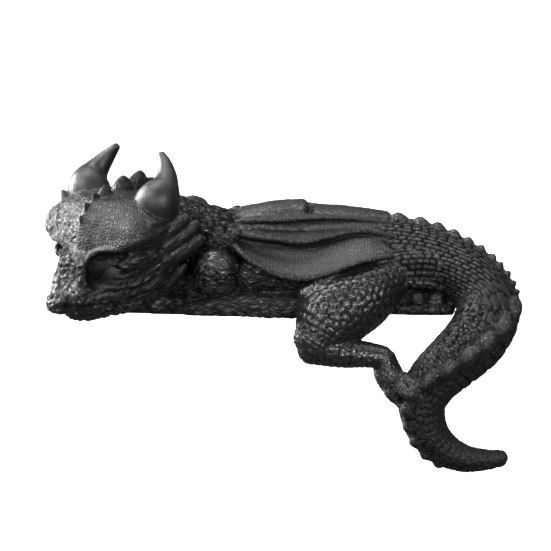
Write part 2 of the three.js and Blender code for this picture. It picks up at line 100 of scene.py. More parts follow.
def plates(row, turn, counts, jitter, stagger, seed):
    """How high plates in rows round a form stand, 0 in the joints and 1 inside a plate."""
    counts = np.asarray(counts, float)
    home = np.floor(row)
    wide = counts[np.clip(home, 0, len(counts) - 1).astype(int)]
    near = np.full(row.shape, 9.0)
    second = near.copy()
    for step in (-1, 0, 1):
        line = home + step
        number = counts[np.clip(line, 0, len(counts) - 1).astype(int)]
        shift = stagger * np.mod(line, 2)
        first = np.floor(turn * number - shift)
        for aside in (-1, 0, 1):
            place = first + aside
            own = np.mod(place, number)
            ahead = line + 0.5 + jitter * chance(line, own, seed)
            round_at = (place + 0.5 + shift + jitter * chance(own, line, seed + 7)) / number
            away = np.hypot(row - ahead, (turn - round_at) * wide)
            second = np.minimum(second, np.maximum(away, near))
            near = np.minimum(near, away)
    return smooth((second - near - 0.03) / 0.24) * (1.06 - 0.22 * near**2)


def pebbles(points, cell, seed=0):
    """How high a skin of irregular pebbles stands, 0 in the joints and 1 on a pebble."""
    spot = points / cell
    home = np.floor(spot)
    near = np.full(points.shape[:-1], 9.0)
    second = near.copy()
    for dx in (-1, 0, 1):
        for dy in (-1, 0, 1):
            for dz in (-1, 0, 1):
                corner = home + (dx, dy, dz)
                x, y, z = corner[..., 0], corner[..., 1], corner[..., 2]
                stray = np.stack([chance(x, y, z, seed + k) for k in range(3)], axis=-1)
                away = np.linalg.norm(spot - corner - 0.5 - 0.42 * stray, axis=-1)
                second = np.minimum(second, np.maximum(away, near))
                near = np.minimum(near, away)
    return smooth((second - near) / 0.4)


def waves(points, length, seed=0):
    """A soft uneven swell between -1 and 1."""
    total = np.zeros(points.shape[:-1])
    for k in range(5):
        heading = unit(np.array([chance(seed, k, 1), chance(seed, k, 2), chance(seed, k, 3)]))
        turns = points @ heading / length * (0.7 + 0.2 * k)
        total += np.sin(2 * math.pi * turns + 5 * chance(seed, k, 4))
    return total / 5


def bent(points, length, amount, seed=0):
    """Points pushed about a little, so that lines laid through them wander."""
    return points + amount * np.stack([waves(points, length, seed + k) for k in range(3)], axis=-1)


def drawn(points, run, stretch):
    """Points drawn together along a direction, so that pebbles laid in them come out long that way."""
    run = unit(np.asarray(run, float))
    return points - (1 - 1 / stretch) * (points @ run)[..., None] * run


def weave(cell=0.85, depth=0.4, run=(1, 0, 0), stretch=1.0, wander=0.3):
    """The fine pattern of a form's skin: where each point lies in it, in cells, and how deep it is.
    The finest beads are drawn coarser than the real ones, so that they show."""

    def pattern(points):
        loose = drawn(bent(points, 5 * cell, wander * cell, 31), run, stretch)
        return loose / cell, np.full(len(points), depth)

    return pattern


forms = []  # each is (points, faces of four, faces of three, sleek, tone, fine pattern)


def close_grid(grid, start, end, sleek=0.0, tone=1.0, fine=weave()):
    """Keeps a grid of rings as a closed form, with a fan to a pole at each end. sleek is 1 on smooth
    skin and 0 on scales, and tone is 1 on a raised plate and 0 in a groove; it is also lowered where
    shade is painted in, as painted shade."""
    rings, sides = grid.shape[:2]
    at_poles = (0.5, 0.5)
    skin = [
        np.append(np.broadcast_to(value, (rings, sides)).ravel(), at_poles) for value in (sleek, tone)
    ]
    number = np.arange(rings * sides).reshape(rings, sides)
    turned = np.roll(number, -1, axis=1)
    quads = np.stack([number[:-1], turned[:-1], turned[1:], number[1:]], axis=-1).reshape(-1, 4)
    first, last = rings * sides, rings * sides + 1
    fans = [np.stack([np.full(sides, first), turned[0], number[0]], axis=-1)]
    fans.append(np.stack([np.full(sides, last), number[-1], turned[-1]], axis=-1))
    points = np.vstack([grid.reshape(-1, 3), start, end])
    centre = grid.reshape(-1, 3).mean(0)
    faces = np.vstack(fans)
    corners = points[np.vstack([faces, quads[:, :3], quads[:, [0, 2, 3]]])] - centre
    volume = np.einsum("ij,ij->i", corners[:, 0], np.cross(corners[:, 1], corners[:, 2])).sum()
    if volume < 0:
        quads, faces = quads[:, ::-1], faces[:, ::-1]
    forms.append((points, quads, faces, *skin, fine))


def grid_normals(grid, inside):
    across = np.roll(grid, -1, axis=1) - np.roll(grid, 1, axis=1)
    ahead = np.gradient(grid, axis=0)
    normals = unit(np.cross(across, ahead))
    outward = grid - inside
    return np.where(np.einsum("ijk,ijk->ij", normals, outward)[..., None] < 0, -normals, normals)


def lay_rows(run, round_about, body_round, pitch, aspect):
    """Lays rows of plates along a form: each ring's place in rows, and how many plates a row has."""
    places, counts = [0.0], []
    for k in range(len(run)):
        row = int(places[-1])
        while len(counts) <= row + 1:
            size = pitch * (body_round[k] / 60) ** 0.45
            ahead = min(len(run) - 1, np.searchsorted(run, run[k] + size * aspect))
            counts.append(max(4, round(max(round_about[k], round_about[ahead]) / size)))
        if k + 1 < len(run):
            step = run[k + 1] - run[k]
            places.append(places[-1] + step * counts[row] / (round_about[k] * aspect))
    return np.array(places), counts


def outline(turn, squareness):
    """Points round a rounded square, a circle where squareness is 2."""
    pair = np.stack([np.cos(2 * math.pi * turn), np.sin(2 * math.pi * turn)])
    return np.sign(pair) * np.abs(pair) ** (2 / squareness)


def limb(
    stations, across=DEPTH, squareness=2, relief=None, place=None, sleek=0.0, dense=1.0, fine=weave()
):
    """A tapering round form along a smooth line, its skin raised by relief(field). A station is
    [x, y, z, half-height, half-width]: the half-width lies along `across`."""
    stations = np.asarray(stations, float)
    rough, _ = along(stations[:, :3], np.linspace(0, 1, 200))
    length = np.linalg.norm(np.diff(rough, axis=0), axis=1).sum()
    spacing = SPACING * dense
    count = max(8, int(length / spacing))
    share = np.linspace(0, 1, count)
    centre, tangent = along(stations[:, :3], share)
    tangent = unit(tangent)
    girth, _ = along(stations[:, 3:], share)
    steps = max(4, int(1.3 * stations[:, 3:].min(1).mean() / spacing))
    angles = np.linspace(0, math.pi / 2, steps + 1)[1:-1]

    def cap(index, sign):
        reach = 0.8 * girth[index].min()
        places = centre[index] + sign * reach * np.sin(angles)[:, None] * tangent[index]
        pole = centre[index] + sign * reach * tangent[index]
        return places, girth[index] * np.cos(angles)[:, None], pole

    low, low_girth, start = cap(0, -1)
    high, high_girth, end = cap(-1, 1)
    centre = np.vstack([low[::-1], centre, high])
    before, after = np.repeat(tangent[:1], len(low), 0), np.repeat(tangent[-1:], len(high), 0)
    tangent = np.vstack([before, tangent, after])
    girth = np.vstack([low_girth[::-1], girth, high_girth])
    wide = unit(across - tangent * (tangent @ across)[:, None])
    tall = np.cross(tangent, wide)
    sides = max(12, int(2 * math.pi * girth.max() / spacing))
    turn = np.arange(sides) / sides
    tall_mean, wide_mean = stations[:, 3:].mean(0)
    trial = np.linspace(0, 1, 1441)
    cosine, sine = outline(trial, squareness)
    walked = np.cumsum(np.hypot(np.diff(cosine) * wide_mean, np.diff(sine) * tall_mean))
    cosine, sine = outline(np.interp(turn, np.append(0, walked / walked[-1]), trial), squareness)
    grid = centre[:, None] + wide[:, None] * (girth[:, 1, None] * cosine)[..., None]
    grid += tall[:, None] * (girth[:, 0, None] * sine)[..., None]
    tone = 1.0
    if relief:
        radius = np.sqrt((girth**2).mean(1))
        steps_on = np.hypot(np.linalg.norm(np.diff(centre, axis=0), axis=1), np.diff(radius))
        run = np.concatenate([[0], np.cumsum(steps_on)])
        field = SimpleNamespace(
            run=np.repeat(run[:, None], sides, 1),
            turn=np.repeat(turn[None], len(run), 0),
            point=grid,
            ring_run=run,
            ring_round=2 * math.pi * np.maximum(radius, 0.4),
            body=slice(len(low), len(low) + count),
        )
        lift, tone = relief(field)
        grid = grid + grid_normals(grid, centre[:, None]) * lift[..., None]
    if place:
        grid, start, end = place(grid), place(start), place(end)
    close_grid(grid, start, end, sleek, tone, fine)


def scaled(pitch, height, aspect=1.0, jitter=0.14, stagger=0.5, seed=0):
    """Relief of plates in rows. pitch is a plate's width on a form 60 round."""

    def relief(field):
        body_round = field.ring_round.copy()
        body_round[: field.body.start] = body_round[field.body.start]
        body_round[field.body.stop :] = body_round[field.body.stop - 1]
        places, counts = lay_rows(field.ring_run, field.ring_round, body_round, pitch, aspect)
        row = np.repeat(places[:, None], field.turn.shape[1], 1)
        raised = plates(row, field.turn, counts, jitter, stagger, seed)
        return height * (raised - 0.6) + 0.12 * waves(field.point, 9, seed), np.clip(raised, 0, 1)

    return relief


def pebbled(cell, height, swell=0.12, seed=0, run=(1, 0, 0), stretch=1.0, wander=0.5, gap=1.0):
    """Relief of irregular pebbles, or of long wrinkled scales where they are stretched along run."""

    def relief(field):
        loose = bent(field.point, 4 * cell, wander * cell, seed)
        raised = pebbles(drawn(loose, run, stretch), cell, seed)
        return height * (raised - 0.6) + swell * waves(field.point, 7, seed), 1 - gap * (1 - raised)

    return relief


def bricked(across, long, height, seed=0):
    """Relief of long plates in rows that run along a form. across is the number of rows round it,
    and long a plate's length."""

    def relief(field):
        row = field.turn * across + 0.22 * waves(field.point, 14, seed)
        own = np.mod(np.floor(row), across)
        spot = field.run / long + 0.5 * chance(own, seed) + 0.12 * waves(field.point, 5, seed + 1)
        longer = 0.25 * chance(np.floor(spot), own, seed + 2)
        beside = 0.5 - np.abs(np.mod(row, 1) - 0.5)
        between = 0.5 - np.abs(np.mod(spot, 1) - 0.5 + 0.4 * longer)
        wide = field.ring_round[:, None] / across
        edge = np.minimum(beside * wide, np.maximum(between, 0) * long)
        raised = smooth((edge - 0.12) / 0.42) * (0.85 + 0.15 * chance(np.floor(spot), own, seed + 3))
        return height * (raised - 0.6) + 0.12 * waves(field.point, 9, seed), np.clip(raised, 0, 1)

    return relief


def trunk_relief(field):
    """Brick-like plates on the rump, beads on the tail's outer side, fine pebbles on its inner side, and
    painted shade that darkens the tail's outer side.
    """
    lift, tone = bricked(RUMP_ROWS, RUMP_PLATE, 0.5, seed=3)(field)
    beads = scaled(2.5, 0.7, aspect=1.3, jitter=0.22, seed=4)(field)
    fine = pebbled(1.15, 0.34, seed=5)(field)
    on_tail = smooth((field.run - TAIL_START) / 12)
    inner = smooth((field.turn - 0.5) / 0.05) * smooth((1 - field.turn) / 0.05)
    outer = on_tail * (1 - inner)
    inner = on_tail * inner
    rump = 1 - inner - outer
    mixed = [rump * a + outer * b + inner * c for a, b, c in zip((lift, tone), beads, fine)]
    # Painted shade: the tail's outer side, which faces away from the lights, is painted darker.
    return mixed[0], mixed[1] * (1 - 0.45 * outer)


limb(SPINE, relief=trunk_relief, fine=weave(0.95, 0.35, stretch=1.3))
limb(BELLY, relief=pebbled(1.5, 0.4, seed=5, stretch=2.5), fine=weave(1, 0.8, stretch=3))
limb(NECK, relief=pebbled(1.6, 0.5, seed=6, stretch=2), fine=weave(1, 0.8, stretch=2))

# Hind legs: the near one hangs over the shelf's edge, its foot against the tail, and the far one is
# folded, its toes coming out under the root of the tail. Both are part of the casting, with brick-like
# plates on the haunch and staggered scales from the hip down.
THIGH_SCALE = 2.8  # how wide a scale is
HANGING_THIGH = [
    [44.5, 14, 14, 7.6, 8.6], [34.6, 10, 12.1, 8.2, 9.4], [24.8, 1.5, 5.9, 10.4, 10],
    [15.2, -5, 0.6, 10.6, 8.4], [10.4, -7.8, -6.2, 7.2, 6.6],
]
HAUNCH = [
    [20, 6.8, 10.4, 6, 7.4], [31, 8.8, 13, 6.3, 8], [44, 10.4, 14.6, 6.2, 8.6],
    [57, 8.4, 13.6, 6.2, 8.8],
]
WING_SEAT = [[33, 6.4, 18.2, 1.6, 2], [38.5, 6.6, 18.6, 2.4, 2.8], [45, 8, 17.6, 2, 2.4]]
HAUNCH_EDGE = [
    [34, 4.2, 12.4, 1.6, 2.4], [40, 3.4, 10.4, 1.8, 2.4], [47, 3.6, 9.6, 1.8, 2.4],
    [56, 1.6, 8.6, 1.8, 2.4],
]
HANGING_SHIN = [
    [10, -7.8, -6.8, 6.4, 6.3], [18.2, -7.6, -9.2, 5, 5.6], [26, -7.6, -10.2, 4, 4.8],
    [31.8, -7.8, -11, 3.4, 4.2],
]
HANGING_FOOT = [[32.2, -8, -11.6, 3.6, 4.2], [33.4, -8.6, -16.2, 4.4, 4.6], [35.6, -9.8, -20.4, 4, 4.4]]
HANGING_TOES = [
    [[33, -10.4, -18.6, 2, 2.4], [34.2, -11.6, -21.4, 2.2, 2.4], [35.4, -12, -23.2, 1.7, 1.8]],
    [[35.8, -11.4, -17.8, 2, 2.4], [38, -13.4, -20.2, 2.1, 2.4], [39.6, -14.2, -22, 1.6, 1.8]],
    [[37.8, -11.2, -16.4, 1.8, 2.2], [40.6, -13.6, -18.4, 1.9, 2.2], [42.4, -14.8, -20, 1.5, 1.6]],
]
HIP = [
    [7.6, -2.6, 7.6, 3.2, 3.4], [14, -2, 11, 3.6, 3.8], [22.5, 0.4, 13, 3.4, 3.8],
    [31, 4.4, 15.6, 3, 3.4],
]
FOLDED_THIGH = [[31, 35, 14, 9, 7], [20, 39, 11, 9.5, 6.5], [10, 40.5, 7.5, 7, 5.5]]
FOLDED_SHIN = [[9, 41, 4.8, 4.8, 4.6], [20, 41, 4, 4.2, 4.2], [32, 38, 3.6, 3.8, 4.2]]
FOLDED_PAD = [[33, 6, 2, 2.6, 4.8], [43, 5, 1.8, 2.4, 4.8], [53, 5, 1.6, 2.2, 4.4]]

limb(
    HANGING_THIGH,
    relief=scaled(THIGH_SCALE, 0.5, aspect=0.75, jitter=0.25, seed=11),
    fine=weave(1.2, 0.16),
)
limb(HIP, relief=scaled(THIGH_SCALE, 0.45, aspect=0.75, jitter=0.25, seed=21), fine=weave(1.2, 0.16))
limb(
    HAUNCH,
    squareness=3.4,
    relief=bricked(28, RUMP_PLATE, 0.45, seed=17),
    fine=weave(0.95, 0.3, stretch=1.3),
)
limb(WING_SEAT, relief=bricked(10, RUMP_PLATE, 0.4, seed=18), fine=weave(0.95, 0.3, stretch=1.3))
limb(HAUNCH_EDGE, relief=bricked(8, RUMP_PLATE, 0.3, seed=19), fine=weave(0.95, 0.3))
limb(HANGING_SHIN, relief=scaled(2.6, 0.45, seed=12), fine=weave(1.2, 0.12))
limb(HANGING_FOOT, relief=scaled(2.0, 0.36, seed=13), fine=weave(1.1, 0.25))
for number, toe in enumerate(HANGING_TOES):
    limb(toe, relief=scaled(1.9, 0.22, seed=20 + number), dense=0.8)
    x, y, z = toe[-1][:3]
    claw = [
        [x, y - 0.4, z - 0.6, 1, 0.9],
        [x + 1, y - 1.2, z - 2, 0.7, 0.6],
        [x + 1.4, y - 1.2, z - 3.1, 0.3, 0.3],
    ]
    limb(claw, sleek=1, dense=0.6)
limb(FOLDED_THIGH, relief=scaled(2.7, 0.4, seed=14))
limb(FOLDED_SHIN, relief=scaled(2.5, 0.3, seed=15))
for number, x in enumerate((36.5, 42.2, 48.2, 54.2)):
    toe = [
        [x - 1, 16 - number, 6, 3.2, 3.1],
        [x, 9 - 0.4 * number, 5.4, 3.3, 2.9],
        [x + 0.6, 4.8 - 0.2 * number, 4.6, 2.4, 2.5],
    ]
    limb(toe, relief=scaled(1.9, 0.24, seed=30 + number), dense=0.8)
limb(FOLDED_PAD, relief=pebbled(1.4, 0.15, seed=16))

# Forelegs: both lie folded along the shelf, the elbow bulging over a long forearm, with the paw under
# the chin. They are part of the casting, with level wrinkled folds at the elbow and long rows of
# scales along the forearm.
BODY_MID_Y = 23  # the plane that the body, its legs and its wings are symmetrical about
UPPER_ARM = [
    [-16.5, 10, 14, 6, 6], [-20.6, 4.6, 12, 7.4, 6.4], [-26, 4.6, 7.4, 4.8, 4.4],
    [-32, 4.6, 4.4, 3.8, 4],
]
ELBOW = [[-20.4, 5.4, 15, 6.4, 6.2], [-21.2, 4.6, 9.8, 7, 6]]
FLANK = [[-12, 8.6, 11.4, 5.2, 6.2], [-3, 8, 11.4, 6, 7], [8, 9.4, 11, 6, 7.2]]
FOREARM = [
    [6, 3, 2.9, 3.8, 4.8], [-7, 3.4, 3, 4, 4.6], [-18, 4.2, 2.6, 3.6, 4.4], [-29, 5.2, 2.4, 3.4, 4.4],
]
PAW = [[-27, 6.2, 2.6, 3.4, 5], [-38, 7, 2.6, 3.2, 4.8], [-49, 8.8, 2.2, 2.8, 4.6]]


def mirrored(stations):
    return [[x, 2 * BODY_MID_Y - y, z, *girth] for x, y, z, *girth in stations]


for side in (list, mirrored):
    limb(side(UPPER_ARM), relief=pebbled(1.5, 0.5, seed=41, stretch=2.6), fine=weave(1.1, 1, stretch=3.4))
    limb(
        side(ELBOW),
        relief=pebbled(1.7, 0.6, 0.2, seed=42, stretch=4, wander=0.3, gap=0.25),
        fine=weave(1.15, 0.25, stretch=3.6),
    )
    limb(
        side(FLANK),
        relief=pebbled(1.8, 0.6, 0.3, seed=46, stretch=2.4, wander=0.6, gap=0.7),
        fine=weave(1.1, 0.7, stretch=2, wander=1),
    )
    limb(
        side(FOREARM),
        squareness=3,
        relief=pebbled(1.3, 0.5, seed=43, run=(1, 0, 0.25), stretch=3.2, gap=0.7),
        fine=weave(1.05, 0.7, run=(1, 0, 0.3), stretch=3, wander=0.2),
    )
limb(PAW, squareness=3, relief=pebbled(1.4, 0.2, seed=45, stretch=3), fine=weave(1, 0.3, stretch=3))

# Wings: folded over the back, smooth skin pleated between raised finger bones, part of the casting.
# Odd lines are bones and even ones the folds between them, and the skin hollows between two lines.
FINGER_RADIUS = 1.1
MEMBRANE_SAG = 1.3
FOLD_DEPTH = 1.8  # the deeper hollow between the wing's leaf and the pleats above it
FAR_WING_DROP = 1.6
LEAF_SINK = 2.2  # how far the leaf's end goes down into the rump
WING_LINES = [
    [[-16, 6, 22.6], [-10.4, 0.4, 18.6], [-3, -2.8, 15], [6, -4.2, 13.3], [14.5, -4.9, 15.2],
     [24, -3, 18.2], [34.8, 1.8, 19.2]],
    [[-14.6, 9, 23.2], [-9, 7.8, 21.8], [-1, 6.2, 21.1], [6, 5.2, 20.8], [14, 5.2, 22.2],
     [24, 6.4, 24.3], [35.2, 8.2, 22.4]],
    [[-14, 8.6, 25.2], [-9, 5.3, 24.8], [-1, 3.6, 24.1], [6, 3.5, 23.2], [14, 4.5, 24.5], [24, 6.8, 26],
     [35.4, 9.4, 23.9]],
    [[-12.6, 12.6, 26], [-8, 12, 25.6], [0, 11.2, 25.2], [7, 11, 25.2], [15, 10.8, 25.6],
     [25, 11.4, 25.8], [35.4, 12.6, 24.8]],
    [[-13, 14, 27.6], [-8, 12.4, 28.2], [0, 11, 28.6], [7, 10.9, 29.1], [15, 11, 29.3],
     [25, 12.6, 28.4], [35.4, 15, 26.6]],
    [[-13, 17, 27.6], [-8, 16.4, 28.8], [0, 16, 29.4], [7, 16, 29.6], [15, 16, 29.3], [25, 16.6, 28.4],
     [35.2, 17.6, 26.6]],
]
LEAF_TIP = [[30.6, 4.4, 19.5, 1.2, 1.3], [32.2, 4.4, 19.5, 1.2, 1.3]]
WING_ARM = [[-20.6, 8.6, 21, 2.8, 3], [-17, 6.4, 23, 2.6, 2.6], [-14, 7.6, 25.2, 2, 2.2]]


def wing(near):
    settle = 0 if near else FAR_WING_DROP

    def over(points):
        points = np.array(points, float)
        if not near:
            points[..., 1] = 2 * BODY_MID_Y - points[..., 1]
        points[..., 2] -= settle * smooth((points[..., 0] - 4) / 10)
        return points

    steps = 240
    share = np.linspace(0, 1, steps)
    lines = [along(line, share)[0] for line in WING_LINES]
    columns, fold_shades, grains = [], [], []
    for k, (line, following) in enumerate(zip(lines, lines[1:])):
        for part in np.linspace(0, 1, 14)[:-1]:
            depth = (MEMBRANE_SAG, FOLD_DEPTH)[k] if k < 2 else 0.4 * MEMBRANE_SAG
            hollow = depth * np.sin(math.pi * share) * math.sin(math.pi * part)
            skin = line * (1 - part) + following * part
            if near and k == 0:
                skin[:, 1] += LEAF_SINK * smooth((share - 0.88) / 0.12)
            columns.append(skin + hollow[:, None] * np.array([0, 1, -0.3]))
            # Painted shade: the deep fold between the leaf and the pleats above it is painted darker
            # towards its middle.
            fold_shades.append(1 - 0.8 * (k == 1) * np.sin(math.pi * share) * math.sin(math.pi * part))
            grains.append((k > 1) * (1 - smooth((skin[:, 0] + 4) / 16)))
    last = lines[-1]
    columns.append(last)
    columns.append(np.stack([last[:, 0], np.full(steps, float(BODY_MID_Y)), last[:, 2] - 2], axis=-1))
    columns.append(np.stack([last[:, 0], np.full(steps, float(BODY_MID_Y)), lines[0][:, 2]], axis=-1))
    grid = np.stack(columns, axis=1)
    tone = np.stack(fold_shades + [np.ones(steps)] * 3, axis=1)
    grain = np.stack(grains + [np.zeros(steps)] * 3, axis=1)
    raised = pebbles(grid, 1.4, 59)
    grid = grid + (0.35 * grain * (raised - 0.6))[..., None] * np.array([0, -0.6, 0.8])
    tone = tone * (1 - 0.35 * grain * (1 - raised))
    start, end = over(grid[0].mean(0)), over(grid[-1].mean(0))
    close_grid(over(grid), start, end, 1 - grain, tone, weave(0.9, 0.25))
    for index in (0, 2, 4) if near else (0, 4):
        stations = WING_LINES[index]
        bone = []
        for k, (x, y, z) in enumerate(stations):
            radius = FINGER_RADIUS * (1 - 0.4 * k / (len(stations) - 1)) * (0.7 if index == 4 else 1)
            bone.append([x, y, z, radius, radius])
        skin = pebbled(1.2, 0.24, 0.1, seed=50 + index, gap=0.6)
        limb(bone, place=over, relief=skin, sleek=0.2, dense=0.8, fine=weave(0.9, 0.5))
    limb(WING_ARM, place=over, relief=pebbled(1.5, 0.35, seed=60), dense=0.8)
    limb(LEAF_TIP, place=over, sleek=0.5, dense=0.6)


wing(True)
wing(False)

# Crest: blunt rounded plates in a row along the nape, the back, the rump and the tail, narrow from
# side to side, with a low keel under them on the tail. They are part of the casting.
SPIKE_ROOT = 2.4  # how far a plate goes into the form below it
CREST_WIDTH = 2  # of a plate, with half its spacing added
KEEL_RISE = 2.1
UP = np.array([0.0, 0.0, 1.0])


def spike(tip, outward, backward, height, length, width, place=None, blunt=2.0):
    """A plate with a rounded tip and a root let into the form below. A higher blunt rounds it less."""
    out = unit(np.asarray(outward, float))
    back = np.asarray(backward, float)
    back = unit(back - out * (back @ out))
    sideways = np.cross(back, out)
    steps, sides = 20, 28
    rise = np.sin(np.linspace(0, math.pi / 2, steps))[:-1]
    narrow = (1 - rise**blunt) ** 0.7
    angles = np.linspace(0, 2 * math.pi, sides, endpoint=False)
    grid = np.asarray(tip, float) + ((rise - 1) * (height + SPIKE_ROOT))[:, None, None] * out
    grid = grid + (narrow[:, None] * np.sin(angles) * length / 2)[..., None] * back
    grid = grid + (narrow[:, None] * np.cos(angles) * width / 2)[..., None] * sideways
    centre = grid.mean(1)[:, None]
    raised = pebbles(grid, 1.3, 9)
    grid = grid + grid_normals(grid, centre) * (0.2 * raised - 0.12)[..., None]
    start, end = grid[0].mean(0), np.asarray(tip, float)
    if place:
        grid, start, end = place(grid), place(start), place(end)
    close_grid(grid, start, end, 0.2, 0.4 + 0.6 * raised)


TRUNK_STEPS = np.linspace(0, 1, 400)
TRUNK_LINE, TRUNK_SLOPE = along([row[:3] for row in SPINE], TRUNK_STEPS)
TRUNK_GIRTH, _ = along([row[3:] for row in SPINE], TRUNK_STEPS)


def on_trunk(guide, height):
    """The tip of a spike that stands on the trunk or the tail, in the direction of a guide point."""
    nearest = np.linalg.norm(TRUNK_LINE - guide, axis=1).argmin()
    centre, tangent, girth = TRUNK_LINE[nearest], unit(TRUNK_SLOPE[nearest]), TRUNK_GIRTH[nearest]
    wide = unit(DEPTH - tangent * (tangent @ DEPTH))
    tall = np.cross(tangent, wide)
    outward = guide - centre
    outward = unit(outward - tangent * (outward @ tangent))
    surface = 1 / math.hypot(outward @ tall / girth[0], outward @ wide / girth[1])
    return centre, centre + outward * (surface + height), outward, tangent, surface


def even_line(guide, count=400):
    line, _ = along(guide, np.linspace(0, 1, count))
    run = np.concatenate([[0], np.cumsum(np.linalg.norm(np.diff(line, axis=0), axis=1))])
    return line, run


def keel_at(share):
    return KEEL_RISE * math.sin(math.pi * min(1, 0.08 + 1.2 * share))


def crest(guide, pitch, height, lift=lambda share: 0):
    line, run = even_line(guide)
    travelled = 0.0
    while travelled <= run[-1]:
        share = travelled / run[-1]
        step = pitch[0] + (pitch[1] - pitch[0]) * share
        tall = height[0] + (height[1] - height[0]) * share
        point = np.array([np.interp(travelled, run, line[:, k]) for k in range(3)])
        _, tip, outward, tangent, _ = on_trunk(point, tall + lift(share))
        spike(tip, outward, tangent, tall, 1.2 * step, 0.5 * step + CREST_WIDTH)
        travelled += step


RUMP_GUIDE = [
    [37, 19.6, 29.6], [49.2, 15, 26.8], [59.8, 8, 22.7], [68.3, 1, 18.6], [72.3, -2, 14.7],
    [75, -5, 9.6],
]
TAIL_GUIDE = [
    [74.4, -9, 5.6], [70, -14, 0.9], [55.7, -17, -10.3], [41.3, -15, -20.5],
    [39.8, -12, -32.2], [46.6, -10, -43], [52.6, -10, -46],
]
crest(RUMP_GUIDE, (7.4, 3), (1.9, 1.4))
crest(TAIL_GUIDE, (8.4, 4.8), (1.7, 1.1), lift=keel_at)


def keel(guide):
    """The ridge along the tail. Its flanks run into the tail's round, and it fades out at both ends."""
    line, run = even_line(guide)
    rings, steps, facets = [], max(40, int(run[-1] / SPACING)), 9
    for share in np.linspace(0, 1, steps):
        rise = max(0.2, keel_at(share))
        point = np.array([np.interp(share * run[-1], run, line[:, k]) for k in range(3)])
        centre, tip, outward, tangent, surface = on_trunk(point, rise)
        sideways = np.cross(tangent, outward)
        spread = math.acos(surface / (surface + rise))
        feet = [
            centre + 0.97 * surface * (outward * math.cos(spread) + side * sideways * math.sin(spread))
            for side in (1, -1)
        ]
        inner = centre + outward * 0.4 * surface
        mix = np.linspace(0, 1, facets)[:-1, None]
        edges = (tip, feet[0], inner, feet[1], tip)
        rings.append(np.vstack([a * (1 - mix) + b * mix for a, b in zip(edges, edges[1:])]))
    grid = np.array(rings)
    smoothed = grid.copy()
    for _ in range(6):
        smoothed[1:-1] = (smoothed[:-2] + 2 * smoothed[1:-1] + smoothed[2:]) / 4
    middle = smoothed.mean(1)[:, None]
    raised = pebbles(smoothed, 1.9, 91)
    grid = smoothed + grid_normals(smoothed, middle) * (0.4 * raised - 0.25)[..., None]
    close_grid(grid, grid[0].mean(0), grid[-1].mean(0), 0, raised)


keel(TAIL_GUIDE)
BACK_HUMPS = [
    [[-16, BODY_MID_Y, 25.8, 2.6, 4.6], [-4, BODY_MID_Y, 29, 2.8, 6], [6.6, BODY_MID_Y, 29.8, 2.8, 6]],
    [[11, BODY_MID_Y, 28.4, 2.6, 6], [20, BODY_MID_Y, 27.8, 2.6, 6], [33, BODY_MID_Y, 26.2, 2.6, 5]],
]
for number, hump in enumerate(BACK_HUMPS):
    limb(hump, relief=pebbled(1.5, 0.16, seed=61 + number, gap=0.5), sleek=0.4, fine=weave(1, 0.25))
for x, z in ((-28.2, 34.1), (-22, 31)):
    spike([x, BODY_MID_Y, z], UP, [1, 0, 0], 2.6, 10.5, 4.4, blunt=3)

# Head: part of the casting, turned towards the shelf's edge with its chin on the shelf, with closed
# eyes under an overhanging brow, a blunt muzzle and two horns. Its places are given forward to the
# nose, left (the near side) and up. A level is its height, how far its rim lifts, and half an outline.
HEAD_ORIGIN = np.array([-53.2, 9.7, 0])
HEAD_YAW = math.radians(50)
FORWARD = np.array([-math.cos(HEAD_YAW), -math.sin(HEAD_YAW), 0])
LEFT = np.array([math.sin(HEAD_YAW), -math.cos(HEAD_YAW), 0])
SKULL_HALF_WIDTH = 20.6


def on_head(points):
    points = np.asarray(points, float)
    return HEAD_ORIGIN + points[..., :1] * FORWARD + points[..., 1:2] * LEFT + points[..., 2:3] * UP


HEAD_LEVELS = [
    [0, 0, [[18.4, 0], [17.2, 3.4], [13.4, 4.6], [7, 5.4], [0, 7], [-7, 9], [-13, 8], [-15, 0]]],
    [3, 0, [[21, 0], [20, 4.4], [16.4, 6.6], [9, 9.4], [0, 12.4], [-8, 13.4], [-15, 10], [-17, 0]]],
    [5.2, 0.6, [[22.4, 0], [21.6, 5], [17.8, 7.4], [10.6, 10.4], [0, 14.2], [-8, 15.4], [-15.6, 11],
                [-17.6, 0]]],
    [6.6, 1.6, [[23.4, 0], [22.8, 5.6], [19, 8.2], [13, 11.6], [2.6, 15.4], [-7, 17], [-15.6, 12],
                [-17.8, 0]]],
    [9.4, 1, [[23.2, 0], [22.7, 6], [19, 8.4], [14.2, 12.6], [4.6, 16.8], [-6, 17.8], [-15.6, 13],
              [-18, 0]]],
    [12.6, 1, [[22.2, 0], [21.6, 6.2], [18.2, 8], [14, 12.6], [5.6, 17.2], [-6, 18.4], [-15.6, 13.6],
               [-18, 0]]],
    [16, 1, [[21, 0], [20.4, 6.2], [16, 6.6], [12.8, 9.4], [7, 15.6], [-5, 18.6], [-15.4, 14],
             [-18, 0]]],
    [19.8, 3, [[19.6, 0], [19, 5.8], [14.6, 5.8], [11.2, 9], [6.6, 15.8], [-4, 19], [-15, 14.4],
               [-18, 0]]],
    [22, 4.4, [[16.6, 0], [15.5, 5.6], [14, 11.4], [11.4, 18], [6, 20.4], [-4, 19.8], [-15, 15],
               [-18, 0]]],
    [26, 2.6, [[15.8, 0], [14.8, 5.8], [13.2, 12], [11, 18.6], [5.4, 20.6], [-5, 19.6], [-14.6, 15],
               [-17.6, 0]]],
    [30.6, 1, [[14.8, 0], [13.4, 6], [11.8, 12], [9.8, 17.8], [4, 19.6], [-5, 19], [-13.6, 14.4],
               [-16.8, 0]]],
    [34.2, 0, [[12.6, 0], [11.2, 5.4], [9.4, 10.6], [7, 15], [1.6, 16.6], [-6, 16.2], [-12, 12],
               [-15, 0]]],
    [37, 0, [[9, 0], [7.6, 4.2], [5.6, 8], [3, 10.8], [-1, 12], [-6, 11], [-10, 8], [-12.4, 0]]],
]
